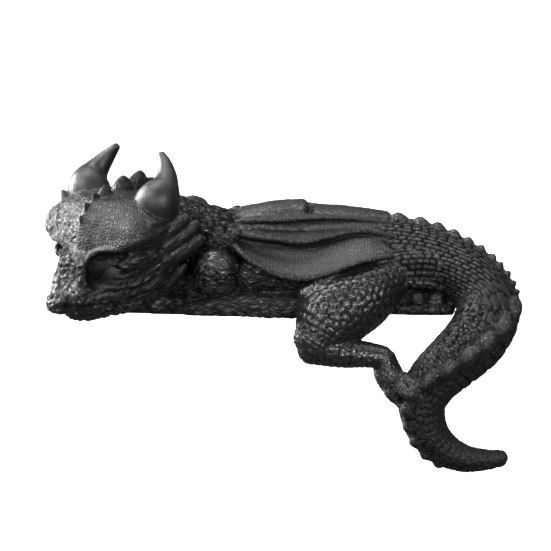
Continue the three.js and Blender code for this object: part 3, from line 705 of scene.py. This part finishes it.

# Lines on the near half of the face, as [forward, left, up], with a width and a height. The other
# half has them too. Heights below 0 are creases, which are also painted darker as painted shade.
FACE_LINES = [
    ([[13.3, 12.2, 17.1], [11.8, 13, 19.5], [8, 13.7, 21.2], [4.9, 16.4, 22], [2.9, 19.2, 22],
      [-2.5, 18.5, 21.9]], 0.6, -0.7),
    ([[13.1, 12, 16.7], [10, 13, 16], [7.2, 15.5, 16.5], [3.4, 16.6, 17.9], [0.3, 17.6, 19.7],
      [-2.5, 18.5, 21.6]], 0.5, -0.9),
    ([[12.8, 11.3, 14.9], [10.4, 14.2, 14.6], [6.3, 16.3, 15.2], [1.5, 17, 16.6], [-2.5, 18.5, 18.7],
      [-5.9, 20.5, 20]], 0.6, -0.7),
    ([[15.4, 10.3, 13.4], [12.4, 13.5, 12.7], [7.8, 16, 13.2], [2.1, 17.5, 14.9], [-4.3, 18.5, 16.5]],
      0.7, -0.6),
    ([[17, 10, 11.1], [13.1, 13.2, 10.5], [8.2, 15.5, 10.9], [2, 17.5, 12.7], [-5.3, 18.4, 14.7]],
      0.7, -0.6),
    ([[9.2, 14.7, 9.7], [5.1, 16.8, 10.9], [-1.3, 17.8, 12.7]], 0.6, -0.5),
    ([[22.8, 5.6, 5.8], [18.8, 7.4, 5.9], [13, 10.5, 6.2], [7.2, 13.6, 7.2], [0.8, 16.3, 8.7],
      [-4.5, 17.8, 10.2]], 0.7, -1.1),
    ([[18.4, 6.4, 15.5], [18.3, 7.9, 12.9], [17.9, 9.2, 10.5]], 0.9, -0.6),
    ([[18, 5.2, 20.7], [15.9, 5.9, 22], [14.3, 9.9, 23.3], [12.1, 14.1, 23.5], [9.5, 17.2, 24.8],
      [8.2, 19.4, 26.5]], 0.9, 0.7),
    ([[19.8, -1, 19.2], [19.8, 2, 19.2], [19.5, 5, 18.6]], 0.5, -0.4),
    ([[20.5, -1, 17.6], [20.3, 2, 17.6], [20, 5, 17.2]], 0.5, -0.4),
    ([[21.2, -1, 15.6], [21, 2, 15.8], [20.6, 5, 15.4]], 0.5, -0.35),
    ([[18.6, 0, 25], [16.6, 0, 28], [15.4, 0, 31], [13, 0, 34.6], [9, 0, 37.4]], 1.0, 0.5),
    ([[15.9, 5.6, 22.4], [14.8, 8.2, 23.1], [13.9, 11.6, 23.8], [12.5, 14.5, 24], [10.7, 18.3, 25.8],
      [5.1, 20.3, 26.4]], 0.5, 0.5),
    ([[15.8, 6.5, 21.2], [15, 9.1, 21.8], [13.6, 12, 22.2], [12, 14.6, 22.6], [9.6, 18, 24.2],
      [4.6, 19.8, 25]], 0.6, -0.8),
    ([[-0.8, 10.2, 39.2], [1.4, 12.6, 38], [1.8, 15, 36.2], [1.2, 17, 34.1], [-0.1, 18.7, 32.6],
      [-2.9, 20, 32.3]], 0.6, -0.9),
    ([[1.6, 11.1, 38.5], [3.6, 13.6, 37.2], [3.4, 15.4, 35.1], [3.2, 17.4, 33.2], [1.6, 19.4, 31.6]],
      0.7, 0.5),
    ([[5.5, 19.4, 31.2], [0.5, 20.2, 31.4], [-4.2, 20.2, 31.6]], 0.9, 0.8),
    ([[2, 20.2, 28.8], [-2.5, 20.7, 28.6], [-6.8, 20.6, 28.2]], 0.8, 0.8),
]


def stroke(points, line, width, height):
    """A ridge along a smooth line that fades at its ends, or a crease where its height is below 0."""
    path, _ = along(line, np.linspace(0, 1, 5 * len(line)))
    best = np.full(points.shape[:-1], 1e9)
    reached = np.zeros(points.shape[:-1])
    for k, (a, b) in enumerate(zip(path, path[1:])):
        step = b - a
        share = np.clip((points - a) @ step / (step @ step), 0, 1)
        away = np.linalg.norm(points - a - share[..., None] * step, axis=-1)
        closer = away < best
        best = np.where(closer, away, best)
        reached = np.where(closer, (k + share) / (len(path) - 1), reached)
    fade = smooth(np.minimum(reached, 1 - reached) / 0.12 + 0.15)
    return height * np.exp(-((best / width) ** 2)) * fade


CHEEK_RUN = (-0.8, 0.2, 0.56)  # the way the wrinkles run on the cheek
EYE_HOLLOW = (16.6, 9.4, 16.4)


def face_parts(own):
    ahead, up = own[..., 0], own[..., 2]
    forehead = smooth((up - 22 - 0.27 * (15 - ahead)) / 1.2 + 0.5)
    muzzle = (1 - forehead) * smooth((ahead - 18.4) / 1.6 + 0.5)
    return forehead, muzzle, 1 - forehead - muzzle


def face_relief(points):
    """Pebbles on the forehead, long wrinkles on the cheek, rough skin on the muzzle, and the lines, with
    painted shade darkening the creases and the eye hollow.
    """
    own = points.copy()
    own[..., 1] = np.abs(own[..., 1])
    ahead, aside, up = own[..., 0], own[..., 1], own[..., 2]
    forehead, muzzle, cheek = face_parts(own)
    lid = np.exp(-(((ahead - 7) / 7) ** 2) - ((up - 19.4 + 0.3 * (ahead - 7)) / 2.6) ** 2) * (aside > 9)
    cheek = cheek * (1 - 0.75 * lid)
    pebbly = pebbles(points, 1.0, 71)
    rough = pebbles(bent(points, 5, 0.8, 73), 1.5, 73)
    wrinkled = pebbles(drawn(bent(own, 9, 0.4, 74), CHEEK_RUN, 9), 1.4, 74)
    lines = sum(stroke(own, np.array(line, float), width, height) for line, width, height in FACE_LINES)
    away = np.linalg.norm((own - EYE_HOLLOW) / (4.6, 4.6, 3.8), axis=-1)
    hollow = np.exp(-(away**2))
    crumpled = smooth(-points[..., 1] / 2)
    above_chin = 0.25 + 0.75 * smooth((up - 3) / 3)
    lift = 0.16 * forehead * (pebbly - 0.6)
    lift = lift + (0.4 * forehead * crumpled + 0.75 * muzzle * above_chin) * (rough - 0.6)
    lift = lift + 0.7 * cheek * (wrinkled - 0.6)
    tone = forehead * (0.7 + 0.3 * pebbly) * (1 - 0.6 * crumpled * (1 - rough))
    tone = tone + muzzle * (0.3 + 0.7 * rough)
    tone = tone + cheek * (0.65 + 0.35 * wrinkled) + 0.9 * lid * (1 - forehead - muzzle)
    # Painted shade: the creases and the eye hollow are painted darker.
    tone = tone * np.exp(np.minimum(lines, 0) * 2.5) * (1 - hollow) ** 2
    return lift + lines - 1.6 * hollow + 0.1 * waves(points, 6, 72), np.clip(tone, 0, 1)


def face_weave(points):
    """The face's fine pattern: long wrinkles on the cheek, pebbles above and in front of it."""
    own = points - HEAD_ORIGIN
    own = np.stack([own @ FORWARD, np.abs(own @ LEFT), own[:, 2]], axis=-1)
    forehead, muzzle, cheek = face_parts(own)
    long_ways = drawn(bent(own, 9, 0.4, 74), CHEEK_RUN, 9)
    depth = 0.4 * forehead + 0.35 * cheek + 0.35 * muzzle
    return np.where((cheek > 0.5)[:, None], long_ways, own / 0.95), depth


def skull():
    levels, around = ((130, 300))
    outlines = []
    for up, rise, half in HEAD_LEVELS:
        whole = half + [[ahead, -aside] for ahead, aside in half[-2:0:-1]]
        row = [[ahead, aside, up + rise * (aside / SKULL_HALF_WIDTH) ** 2] for ahead, aside in whole]
        looped = np.vstack([row[-3:], row, row[:4]])
        share = (3 + np.arange(around) / around * len(row)) / (len(looped) - 1)
        outlines.append(along(looped, share)[0])
    stack = np.array(outlines)
    flat, _ = along(stack.reshape(len(stack), -1), np.linspace(0, 1, levels))
    grid = flat.reshape(levels, around, 3)
    centre = grid.mean(1)[:, None]
    lift, tone = face_relief(grid)
    grid = grid + grid_normals(grid, centre) * lift[..., None]
    sleek = 0.4 * smooth((grid[..., 2] - 24) / 3)
    low, high = np.array([2, 0, -1.0]), np.array([-1.5, 0, 38.4])
    close_grid(on_head(grid), on_head(low), on_head(high), sleek, tone, face_weave)


skull()

NOSTRIL = (26.8, 4.6, 6.8)
NOSE_PAD = [[22, 0, 7, 3, 4.8], [26.2, 0, 6.6, 3, 5]]
EYEBALL = [
    [12.8, 11.4, 18.2, 1, 1], [9, 14.2, 19, 2.2, 2.4], [4.8, 15.7, 19.6, 2.6, 3],
    [0.4, 17.2, 20.4, 2, 2.2], [-3.6, 18.4, 21.2, 1, 1],
]
LOWER_LIP = [
    [20.6, 3.6, 3.4, 0.9, 1.4], [13.4, 8.2, 3.8, 1, 1.2], [4, 12.8, 4.6, 1, 1.2],
    [-5, 15.6, 6.4, 0.9, 1],
]
HORN = [
    [-4.6, 13, 32.6, 7.2, 7.2], [-5, 14.5, 36.2, 7.1, 7.1], [-6.9, 15, 39.3, 5.9, 5.9],
    [-8.5, 14.8, 41.4, 4.3, 4.2], [-10, 13.9, 43.5, 3.4, 3.2], [-11.6, 11.9, 46.6, 2.3, 2.2],
    [-12.4, 9.6, 49.3, 1.4, 1.3],
]
BROW_KNOB = [[3, -17.4, 31, 2.2, 2.2], [2, -19.2, 34, 1.5, 1.5], [1.6, -20, 35.6, 0.9, 0.9]]
JAW_FRILL = [
    [[-3, 18.4, 26.8, 2, 3.2], [-8, 19.9, 29, 1.8, 2.6], [-11.4, 20.8, 30.6, 1.4, 1.8]],
    [[-3, 18.4, 23, 2, 3.4], [-10, 20.2, 25.2, 2, 2.8], [-15.4, 21.4, 27.6, 1.6, 2]],
    [[-3, 17.8, 18.6, 2, 3.4], [-11, 20.2, 20.6, 2.2, 3], [-16.6, 21.8, 23, 1.6, 2]],
    [[-6, 16.8, 9.6, 1.6, 2], [-11, 17.2, 11.6, 1.4, 1.8], [-14.6, 17.4, 14, 0.7, 1]],
]
HEAD_CREST = [  # forward, up, height, length, width, how blunt, how far it leans with its place
    [15.9, 33.3, 2.3, 4.6, 1.4, 1.1, 0.06], [13.2, 37, 3.1, 6, 1.9, 1.1, 0.06],
    [9.2, 39.5, 3.8, 7.5, 2.3, 1.1, 0.06], [4, 41, 4.6, 9, 5, 1.6, 0.03],
    [-5, 42.8, 4.6, 9.4, 5.4, 2.2, 0.02], [-13.2, 43, 8, 13, 6, 2.2, 0.02],
    [-20.4, 39, 4.6, 10, 5.4, 1.8, 0.06],
]


def horn_relief(field):
    return 0.06 * waves(field.point, 9, 81), np.full(field.run.shape, 0.7)


def lobe_relief(field):
    lift, tone = pebbled(1.7, 0.3, seed=77, run=(-0.85, 0.2, 0.45), stretch=6)(field)
    return lift, 0.6 + 0.4 * tone


def nose_relief(field):
    own = field.point.copy()
    own[..., 1] = np.abs(own[..., 1])
    away = np.linalg.norm((own - NOSTRIL) / (2, 1.4, 1.5), axis=-1)
    nostril = np.exp(-(away**2))
    lift, tone = face_relief(field.point)
    # Painted shade: the nostrils are painted darker, as well as pressed in.
    return lift - 1.3 * nostril, tone * (1 - nostril) ** 2


def both_sides(stations, **options):
    limb(stations, place=on_head, **options)
    limb([[x, -y, z, *girth] for x, y, z, *girth in stations], place=on_head, **options)


LID_RUN = (-0.79, 0.54, 0.29)  # the way the closed lids' wrinkles run


def lid_relief(field):
    lift, tone = pebbled(1.3, 0.55, seed=79, run=LID_RUN, stretch=9, wander=0.15)(field)
    lines, lined = face_relief(field.point)
    # The lids take the face's tone, with its painted shade in the creases and the eye hollow.
    return lift + lines, (0.3 + 0.5 * tone) * lined


limb(NOSE_PAD, squareness=2.6, place=on_head, relief=nose_relief, dense=0.6, fine=face_weave)
both_sides(EYEBALL, across=UP, relief=lid_relief, dense=0.8, fine=weave(1, 0))
both_sides(LOWER_LIP, across=UP, relief=pebbled(1.2, 0.12, seed=75), dense=0.8)
both_sides(HORN, relief=horn_relief, sleek=0.3, fine=weave(1, 0.06))
for lobe in JAW_FRILL:
    both_sides(lobe, across=UP, relief=lobe_relief, sleek=0.3, dense=0.8, fine=weave(1, 0.2))
for ahead, up, height, length, width, blunt, tilt in HEAD_CREST:
    spike([ahead, 0, up], [tilt * ahead, 0, 1], [-1, 0, 0], height, length, width, on_head, blunt)
limb(BROW_KNOB, place=on_head, relief=horn_relief, dense=0.7, fine=weave(1, 0.15))

# The casting: black resin poured in one piece. Every form is joined into one skin, and the shelf's
# corner cuts the underside and the back of the hanging leg flat.
MM = 0.001
SEAT_DEPTH = 20  # from the shelf's edge back to the origin
VOXEL = 0.34
TRIANGLES = 196000
SHELF_REACH = 0.3  # of the block cut away, in metres, well past the figure


def new_mesh(name, points, quads, triangles):
    mesh = bpy.data.meshes.new(name)
    mesh.vertices.add(len(points))
    mesh.vertices.foreach_set("co", np.ascontiguousarray(points, np.float32).ravel())
    corners = np.concatenate([quads.ravel(), triangles.ravel()]).astype(np.int32)
    sizes = np.concatenate([np.full(len(quads), 4), np.full(len(triangles), 3)])
    starts = np.concatenate([[0], np.cumsum(sizes)[:-1]]).astype(np.int32)
    mesh.loops.add(len(corners))
    mesh.loops.foreach_set("vertex_index", corners)
    mesh.polygons.add(len(sizes))
    mesh.polygons.foreach_set("loop_start", starts)
    mesh.update(calc_edges=True)
    mesh.validate()
    return mesh


def finished(thing):
    """The object's mesh with its modifiers worked in."""
    graph = bpy.context.evaluated_depsgraph_get()
    made = bpy.data.meshes.new_from_object(thing.evaluated_get(graph))
    thing.modifiers.clear()
    old = thing.data
    thing.data = made
    bpy.data.meshes.remove(old)


offset = 0
all_points, all_quads, all_triangles = [], [], []
for points, quads, triangles, *_ in forms:
    all_points.append(points)
    all_quads.append(quads + offset)
    all_triangles.append(triangles + offset)
    offset += len(points)
points = (np.vstack(all_points) - (0, SEAT_DEPTH, 0)) * MM
casting_mesh = new_mesh("dragon_casting", points, np.vstack(all_quads), np.vstack(all_triangles))
casting = bpy.data.objects.new("dragon_casting", casting_mesh)
bpy.context.scene.collection.objects.link(casting)

remesh = casting.modifiers.new("one_skin", "REMESH")
remesh.mode = "VOXEL"
remesh.voxel_size = VOXEL * MM
finished(casting)

reach_x = (-SHELF_REACH, SHELF_REACH)
reach_y = (-SEAT_DEPTH * MM, SHELF_REACH)
reach_z = (-SHELF_REACH, 0)
corners = [(x, y, z) for x in reach_x for y in reach_y for z in reach_z]
sides = [(0, 1, 3, 2), (4, 6, 7, 5), (0, 4, 5, 1), (2, 3, 7, 6), (0, 2, 6, 4), (1, 5, 7, 3)]
shelf_mesh = bpy.data.meshes.new("shelf_corner")
shelf_mesh.from_pydata(corners, [], sides)
shelf = bpy.data.objects.new("shelf_corner", shelf_mesh)
bpy.context.scene.collection.objects.link(shelf)
cut = casting.modifiers.new("shelf", "BOOLEAN")
cut.operation = "DIFFERENCE"
cut.object = shelf
cut.solver = "MANIFOLD"
finished(casting)
bpy.data.objects.remove(shelf)

triangle_count = sum(len(face.vertices) - 2 for face in casting.data.polygons)
reduce = casting.modifiers.new("fewer", "DECIMATE")
reduce.ratio = min(1, TRIANGLES / triangle_count)
reduce.use_collapse_triangulate = True
finished(casting)
casting.data.polygons.foreach_set("use_smooth", np.ones(len(casting.data.polygons), bool))

# How sleek and how open the skin is at each point, with painted shade carried in the tone, and where
# it lies in the fine pattern, from the form it belongs to.
tree = kdtree.KDTree(len(points))
for number, point in enumerate(points):
    tree.insert(point, number)
tree.balance()
nearest = [tree.find(vertex.co)[1] for vertex in casting.data.vertices]


def keep(name, kind, field, values):
    """Keeps a value for each point of the casting, for its material."""
    attribute = casting.data.attributes.new(name, kind, "POINT")
    attribute.data.foreach_set(field, values.astype(np.float32).ravel())


for place, name in enumerate(("sleek", "tone"), 3):
    keep(name, "FLOAT", "value", np.concatenate([form[place] for form in forms])[nearest])
owner = np.concatenate([np.full(len(form[0]), k) for k, form in enumerate(forms)])[nearest]
spots = np.empty(3 * len(owner), np.float32)
casting.data.vertices.foreach_get("co", spots)
spots = spots.reshape(-1, 3) / MM + (0, SEAT_DEPTH, 0)
cells, depths = np.zeros((len(owner), 3)), np.zeros(len(owner))
for k, form in enumerate(forms):
    own = owner == k
    if own.any():
        cells[own], depths[own] = form[5](spots[own])
keep("cells", "FLOAT_VECTOR", "vector", cells)
keep("depth", "FLOAT", "value", depths)


def linear(code):
    channels = [int(code[k : k + 2], 16) / 255 for k in (1, 3, 5)]
    return [c / 12.92 if c <= 0.04045 else ((c + 0.055) / 1.055) ** 2.4 for c in channels] + [1]


def add(tree, kind, inputs=None, **settings):
    node = tree.nodes.new(kind)
    for name, value in settings.items():
        setattr(node, name, value)
    for name, value in (inputs or {}).items():
        if isinstance(value, bpy.types.NodeSocket):
            tree.links.new(value, node.inputs[name])
        else:
            node.inputs[name].default_value = value
    return node


def new_material(name):
    material = bpy.data.materials.new(name)
    material.use_nodes = True
    material.node_tree.nodes.clear()
    return material, material.node_tree


# Black resin: casting resin coloured through, as it leaves a rubber mould. Smooth skin and the raised
# part of each plate have a satin shine, and the joints between plates are dull and darker. The same
# joint black is also painted in as painted shade: in the face's creases, the eye hollows, the nostrils,
# the wing's fold and on the tail's outer side. The smooth parts also keep the fine steps of the first
# model. The grit is drawn coarser than the real one.
MOTTLE_SIZE = 3.85  # of the cloudy patches in the black, in millimetres, as are the next three
GRIT_SIZE = 0.667
STEP_SIZE = 0.46
BUMP_RISE = 0.22
RAISED_DARK, RAISED_PALE, JOINT_AND_SHADE = "#0c0c0d", "#1c1c1e", "#020202"
resin, tree = new_material("black_resin")
place = add(tree, "ShaderNodeTexCoord").outputs["Object"]
sleek = add(tree, "ShaderNodeAttribute", attribute_name="sleek").outputs["Fac"]
tone = add(tree, "ShaderNodeAttribute", attribute_name="tone").outputs["Fac"]
mottled = {"Vector": place, "Scale": 1 / (MOTTLE_SIZE * MM), "Detail": 5.0, "Roughness": 0.6}
cloud = add(tree, "ShaderNodeTexNoise", mottled).outputs["Fac"]
grit_places = {"Vector": place, "Scale": 1 / (GRIT_SIZE * MM), "Detail": 4.0}
grit = add(tree, "ShaderNodeTexNoise", grit_places).outputs["Fac"]
cells = add(tree, "ShaderNodeAttribute", attribute_name="cells").outputs["Vector"]
depth = add(tree, "ShaderNodeAttribute", attribute_name="depth").outputs["Fac"]
grain = add(tree, "ShaderNodeTexVoronoi", {"Vector": cells, "Scale": 1.0}, feature="DISTANCE_TO_EDGE")
beads = add(tree, "ShaderNodeMapRange", {"Value": grain.outputs["Distance"], "From Max": 0.22}).outputs[0]
bead_depth = add(tree, "ShaderNodeMath", {0: depth, 1: 1.6}, operation="MULTIPLY")
grit_depth = add(tree, "ShaderNodeMapRange", {"Value": depth, "From Max": 0.4, "To Max": 0.5}).outputs[0]
grit_share = add(tree, "ShaderNodeMapRange", {"Value": sleek, "To Min": 1.0, "To Max": 0.4}).outputs[0]
grit_here = add(tree, "ShaderNodeMath", {0: grit_depth, 1: grit_share}, operation="MULTIPLY").outputs[0]
gritty = add(tree, "ShaderNodeMath", {0: grit, 1: grit_here}, operation="MULTIPLY").outputs[0]
bead_rise = {0: beads, 1: bead_depth.outputs[0], 2: gritty}
beaded = add(tree, "ShaderNodeMath", bead_rise, operation="MULTIPLY_ADD").outputs[0]
along_x = add(tree, "ShaderNodeSeparateXYZ", {"Vector": place}).outputs["X"]
steps_at = {0: along_x, 1: 2 * math.pi / (STEP_SIZE * MM)}
layer = add(tree, "ShaderNodeMath", steps_at, operation="MULTIPLY").outputs[0]
contour = add(tree, "ShaderNodeMath", {0: layer}, operation="SINE").outputs[0]
contour_here = add(tree, "ShaderNodeMath", {0: contour, 1: sleek}, operation="MULTIPLY").outputs[0]
rise = {0: contour_here, 1: 0.2, 2: beaded}
height = add(tree, "ShaderNodeMath", rise, operation="MULTIPLY_ADD").outputs[0]
bump = add(tree, "ShaderNodeBump", {"Strength": 0.8, "Distance": BUMP_RISE * MM, "Height": height})
blacks = {0: cloud, 6: linear(RAISED_DARK), 7: linear(RAISED_PALE)}
plate = add(tree, "ShaderNodeMix", blacks, data_type="RGBA").outputs[2]
gap = add(tree, "ShaderNodeMath", {0: 1.0, 1: beads}, operation="SUBTRACT")
gap_depth = add(tree, "ShaderNodeMath", {0: depth, 1: 0.8}, operation="MULTIPLY")
dim = add(tree, "ShaderNodeMath", {0: gap.outputs[0], 1: gap_depth.outputs[0]}, operation="MULTIPLY")
open_here = add(tree, "ShaderNodeMath", {0: 1.0, 1: dim.outputs[0]}, operation="SUBTRACT", use_clamp=True)
shown = {0: open_here.outputs[0], 1: tone}
open_and_unshaded = add(tree, "ShaderNodeMath", shown, operation="MULTIPLY").outputs[0]
# The joint black also stands for painted shade where the tone is lowered.
colour = add(tree, "ShaderNodeMix", {0: open_and_unshaded, 6: linear(JOINT_AND_SHADE), 7: plate}, data_type="RGBA")
satin = add(tree, "ShaderNodeMapRange", {"Value": sleek, "To Min": 0.26, "To Max": 0.42}).outputs[0]
rough = add(tree, "ShaderNodeMapRange", {"Value": open_and_unshaded, "To Min": 0.7, "To Max": satin})
shine = add(tree, "ShaderNodeMapRange", {"Value": open_and_unshaded, "To Min": 0.05, "To Max": 0.55})
shader = add(
    tree,
    "ShaderNodeBsdfPrincipled",
    {
        "Base Color": colour.outputs[2],
        "Roughness": rough.outputs[0],
        "Specular IOR Level": shine.outputs[0],
        "IOR": 1.5,
        "Normal": bump.outputs[0],
    },
)
add(tree, "ShaderNodeOutputMaterial", {"Surface": shader.outputs[0]})
casting.data.materials.clear()
casting.data.materials.append(resin)
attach(casting, "root")
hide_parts("dragon")

# Floor: a pale sheet far below the figure, curving up behind it. It isn't part of the dragon, and it
# adds no light or reflection to it, because the figure's undersides are dark.
# Paper: matt, white and without a pattern, so the ground is even and has no highlight.
paper, tree = new_material("paper")
shader = add(tree, "ShaderNodeBsdfPrincipled", {"Base Color": linear("#f4f4f4"), "Roughness": 0.9})
add(tree, "ShaderNodeOutputMaterial", {"Surface": shader.outputs[0]})
FLOOR_Z, WALL_Y, BEND = -0.28, 1.6, 0.8
profile = [(-3, FLOOR_Z), (WALL_Y - BEND, FLOOR_Z)]
for angle in np.linspace(0.1, math.pi / 2, 14):
    across, up = BEND * math.sin(angle), BEND * (1 - math.cos(angle))
    profile.append((WALL_Y - BEND + across, FLOOR_Z + up))
profile.append((WALL_Y, 3))
sheet_points = [(x, y, z) for y, z in profile for x in (-4, 4)]
sheet_faces = [(2 * k, 2 * k + 1, 2 * k + 3, 2 * k + 2) for k in range(len(profile) - 1)]
sheet_mesh = bpy.data.meshes.new("floor")
sheet_mesh.from_pydata(sheet_points, [], sheet_faces)
sheet_mesh.polygons.foreach_set("use_smooth", [True] * len(sheet_faces))
floor = bpy.data.objects.new("floor", sheet_mesh)
floor.data.materials.append(paper)
bpy.context.scene.collection.objects.link(floor)
floor.visible_diffuse = False
floor.visible_glossy = False

# Light: soft square lights at the upper left, in front, at the right and above, a large one behind on
# the left, one on the wall, and a faint even surround.
world = bpy.data.worlds.new("surround")
bpy.context.scene.world = world
world.use_nodes = True
background = world.node_tree.nodes["Background"]
background.inputs["Color"].default_value = (1, 1, 1, 1)
background.inputs["Strength"].default_value = 0.2


def soft_light(name, spot, aim, size, power):
    lamp = bpy.data.lights.new(name, "AREA")
    lamp.shape = "SQUARE"
    lamp.size = size
    lamp.energy = power
    thing = bpy.data.objects.new(name, lamp)
    bpy.context.scene.collection.objects.link(thing)
    thing.location = spot
    thing.rotation_euler = (Vector(aim) - Vector(spot)).to_track_quat("-Z", "Y").to_euler()


soft_light("left_light", (-0.7, -0.3, 0.65), (-0.02, 0, 0), 0.3, 9)
soft_light("front_light", (-0.45, -1.05, 0.4), (0, 0, 0), 0.4, 7)
soft_light("right_light", (0.5, -1.0, 0.45), (-0.02, 0, 0), 0.4, 12)
soft_light("top_light", (-0.25, 0.1, 0.95), (0, 0, 0), 0.35, 6)
soft_light("window_light", (-0.9, 0.45, 0.25), (-0.03, 0, 0.01), 0.6, 42)
soft_light("wall_light", (0, 0.5, 1.2), (0, 1.6, 0.1), 1.5, 26)

# Camera: a long lens a little above the figure, level with the middle of its length.
CAMERA_DISTANCE = 1.2
CAMERA_RISE = math.radians(14)
camera_data = bpy.data.cameras.new("camera")
camera_data.sensor_width = 36
camera_data.lens = 250
camera = bpy.data.objects.new("camera", camera_data)
bpy.context.scene.collection.objects.link(camera)
aim = Vector((-0.002, -0.02, 0.0134))
camera.location = aim + CAMERA_DISTANCE * Vector((0, -math.cos(CAMERA_RISE), math.sin(CAMERA_RISE)))
camera.rotation_euler = (aim - camera.location).to_track_quat("-Z", "Y").to_euler()
bpy.context.scene.camera = camera

view = bpy.context.scene.view_settings
view.view_transform = "Standard"
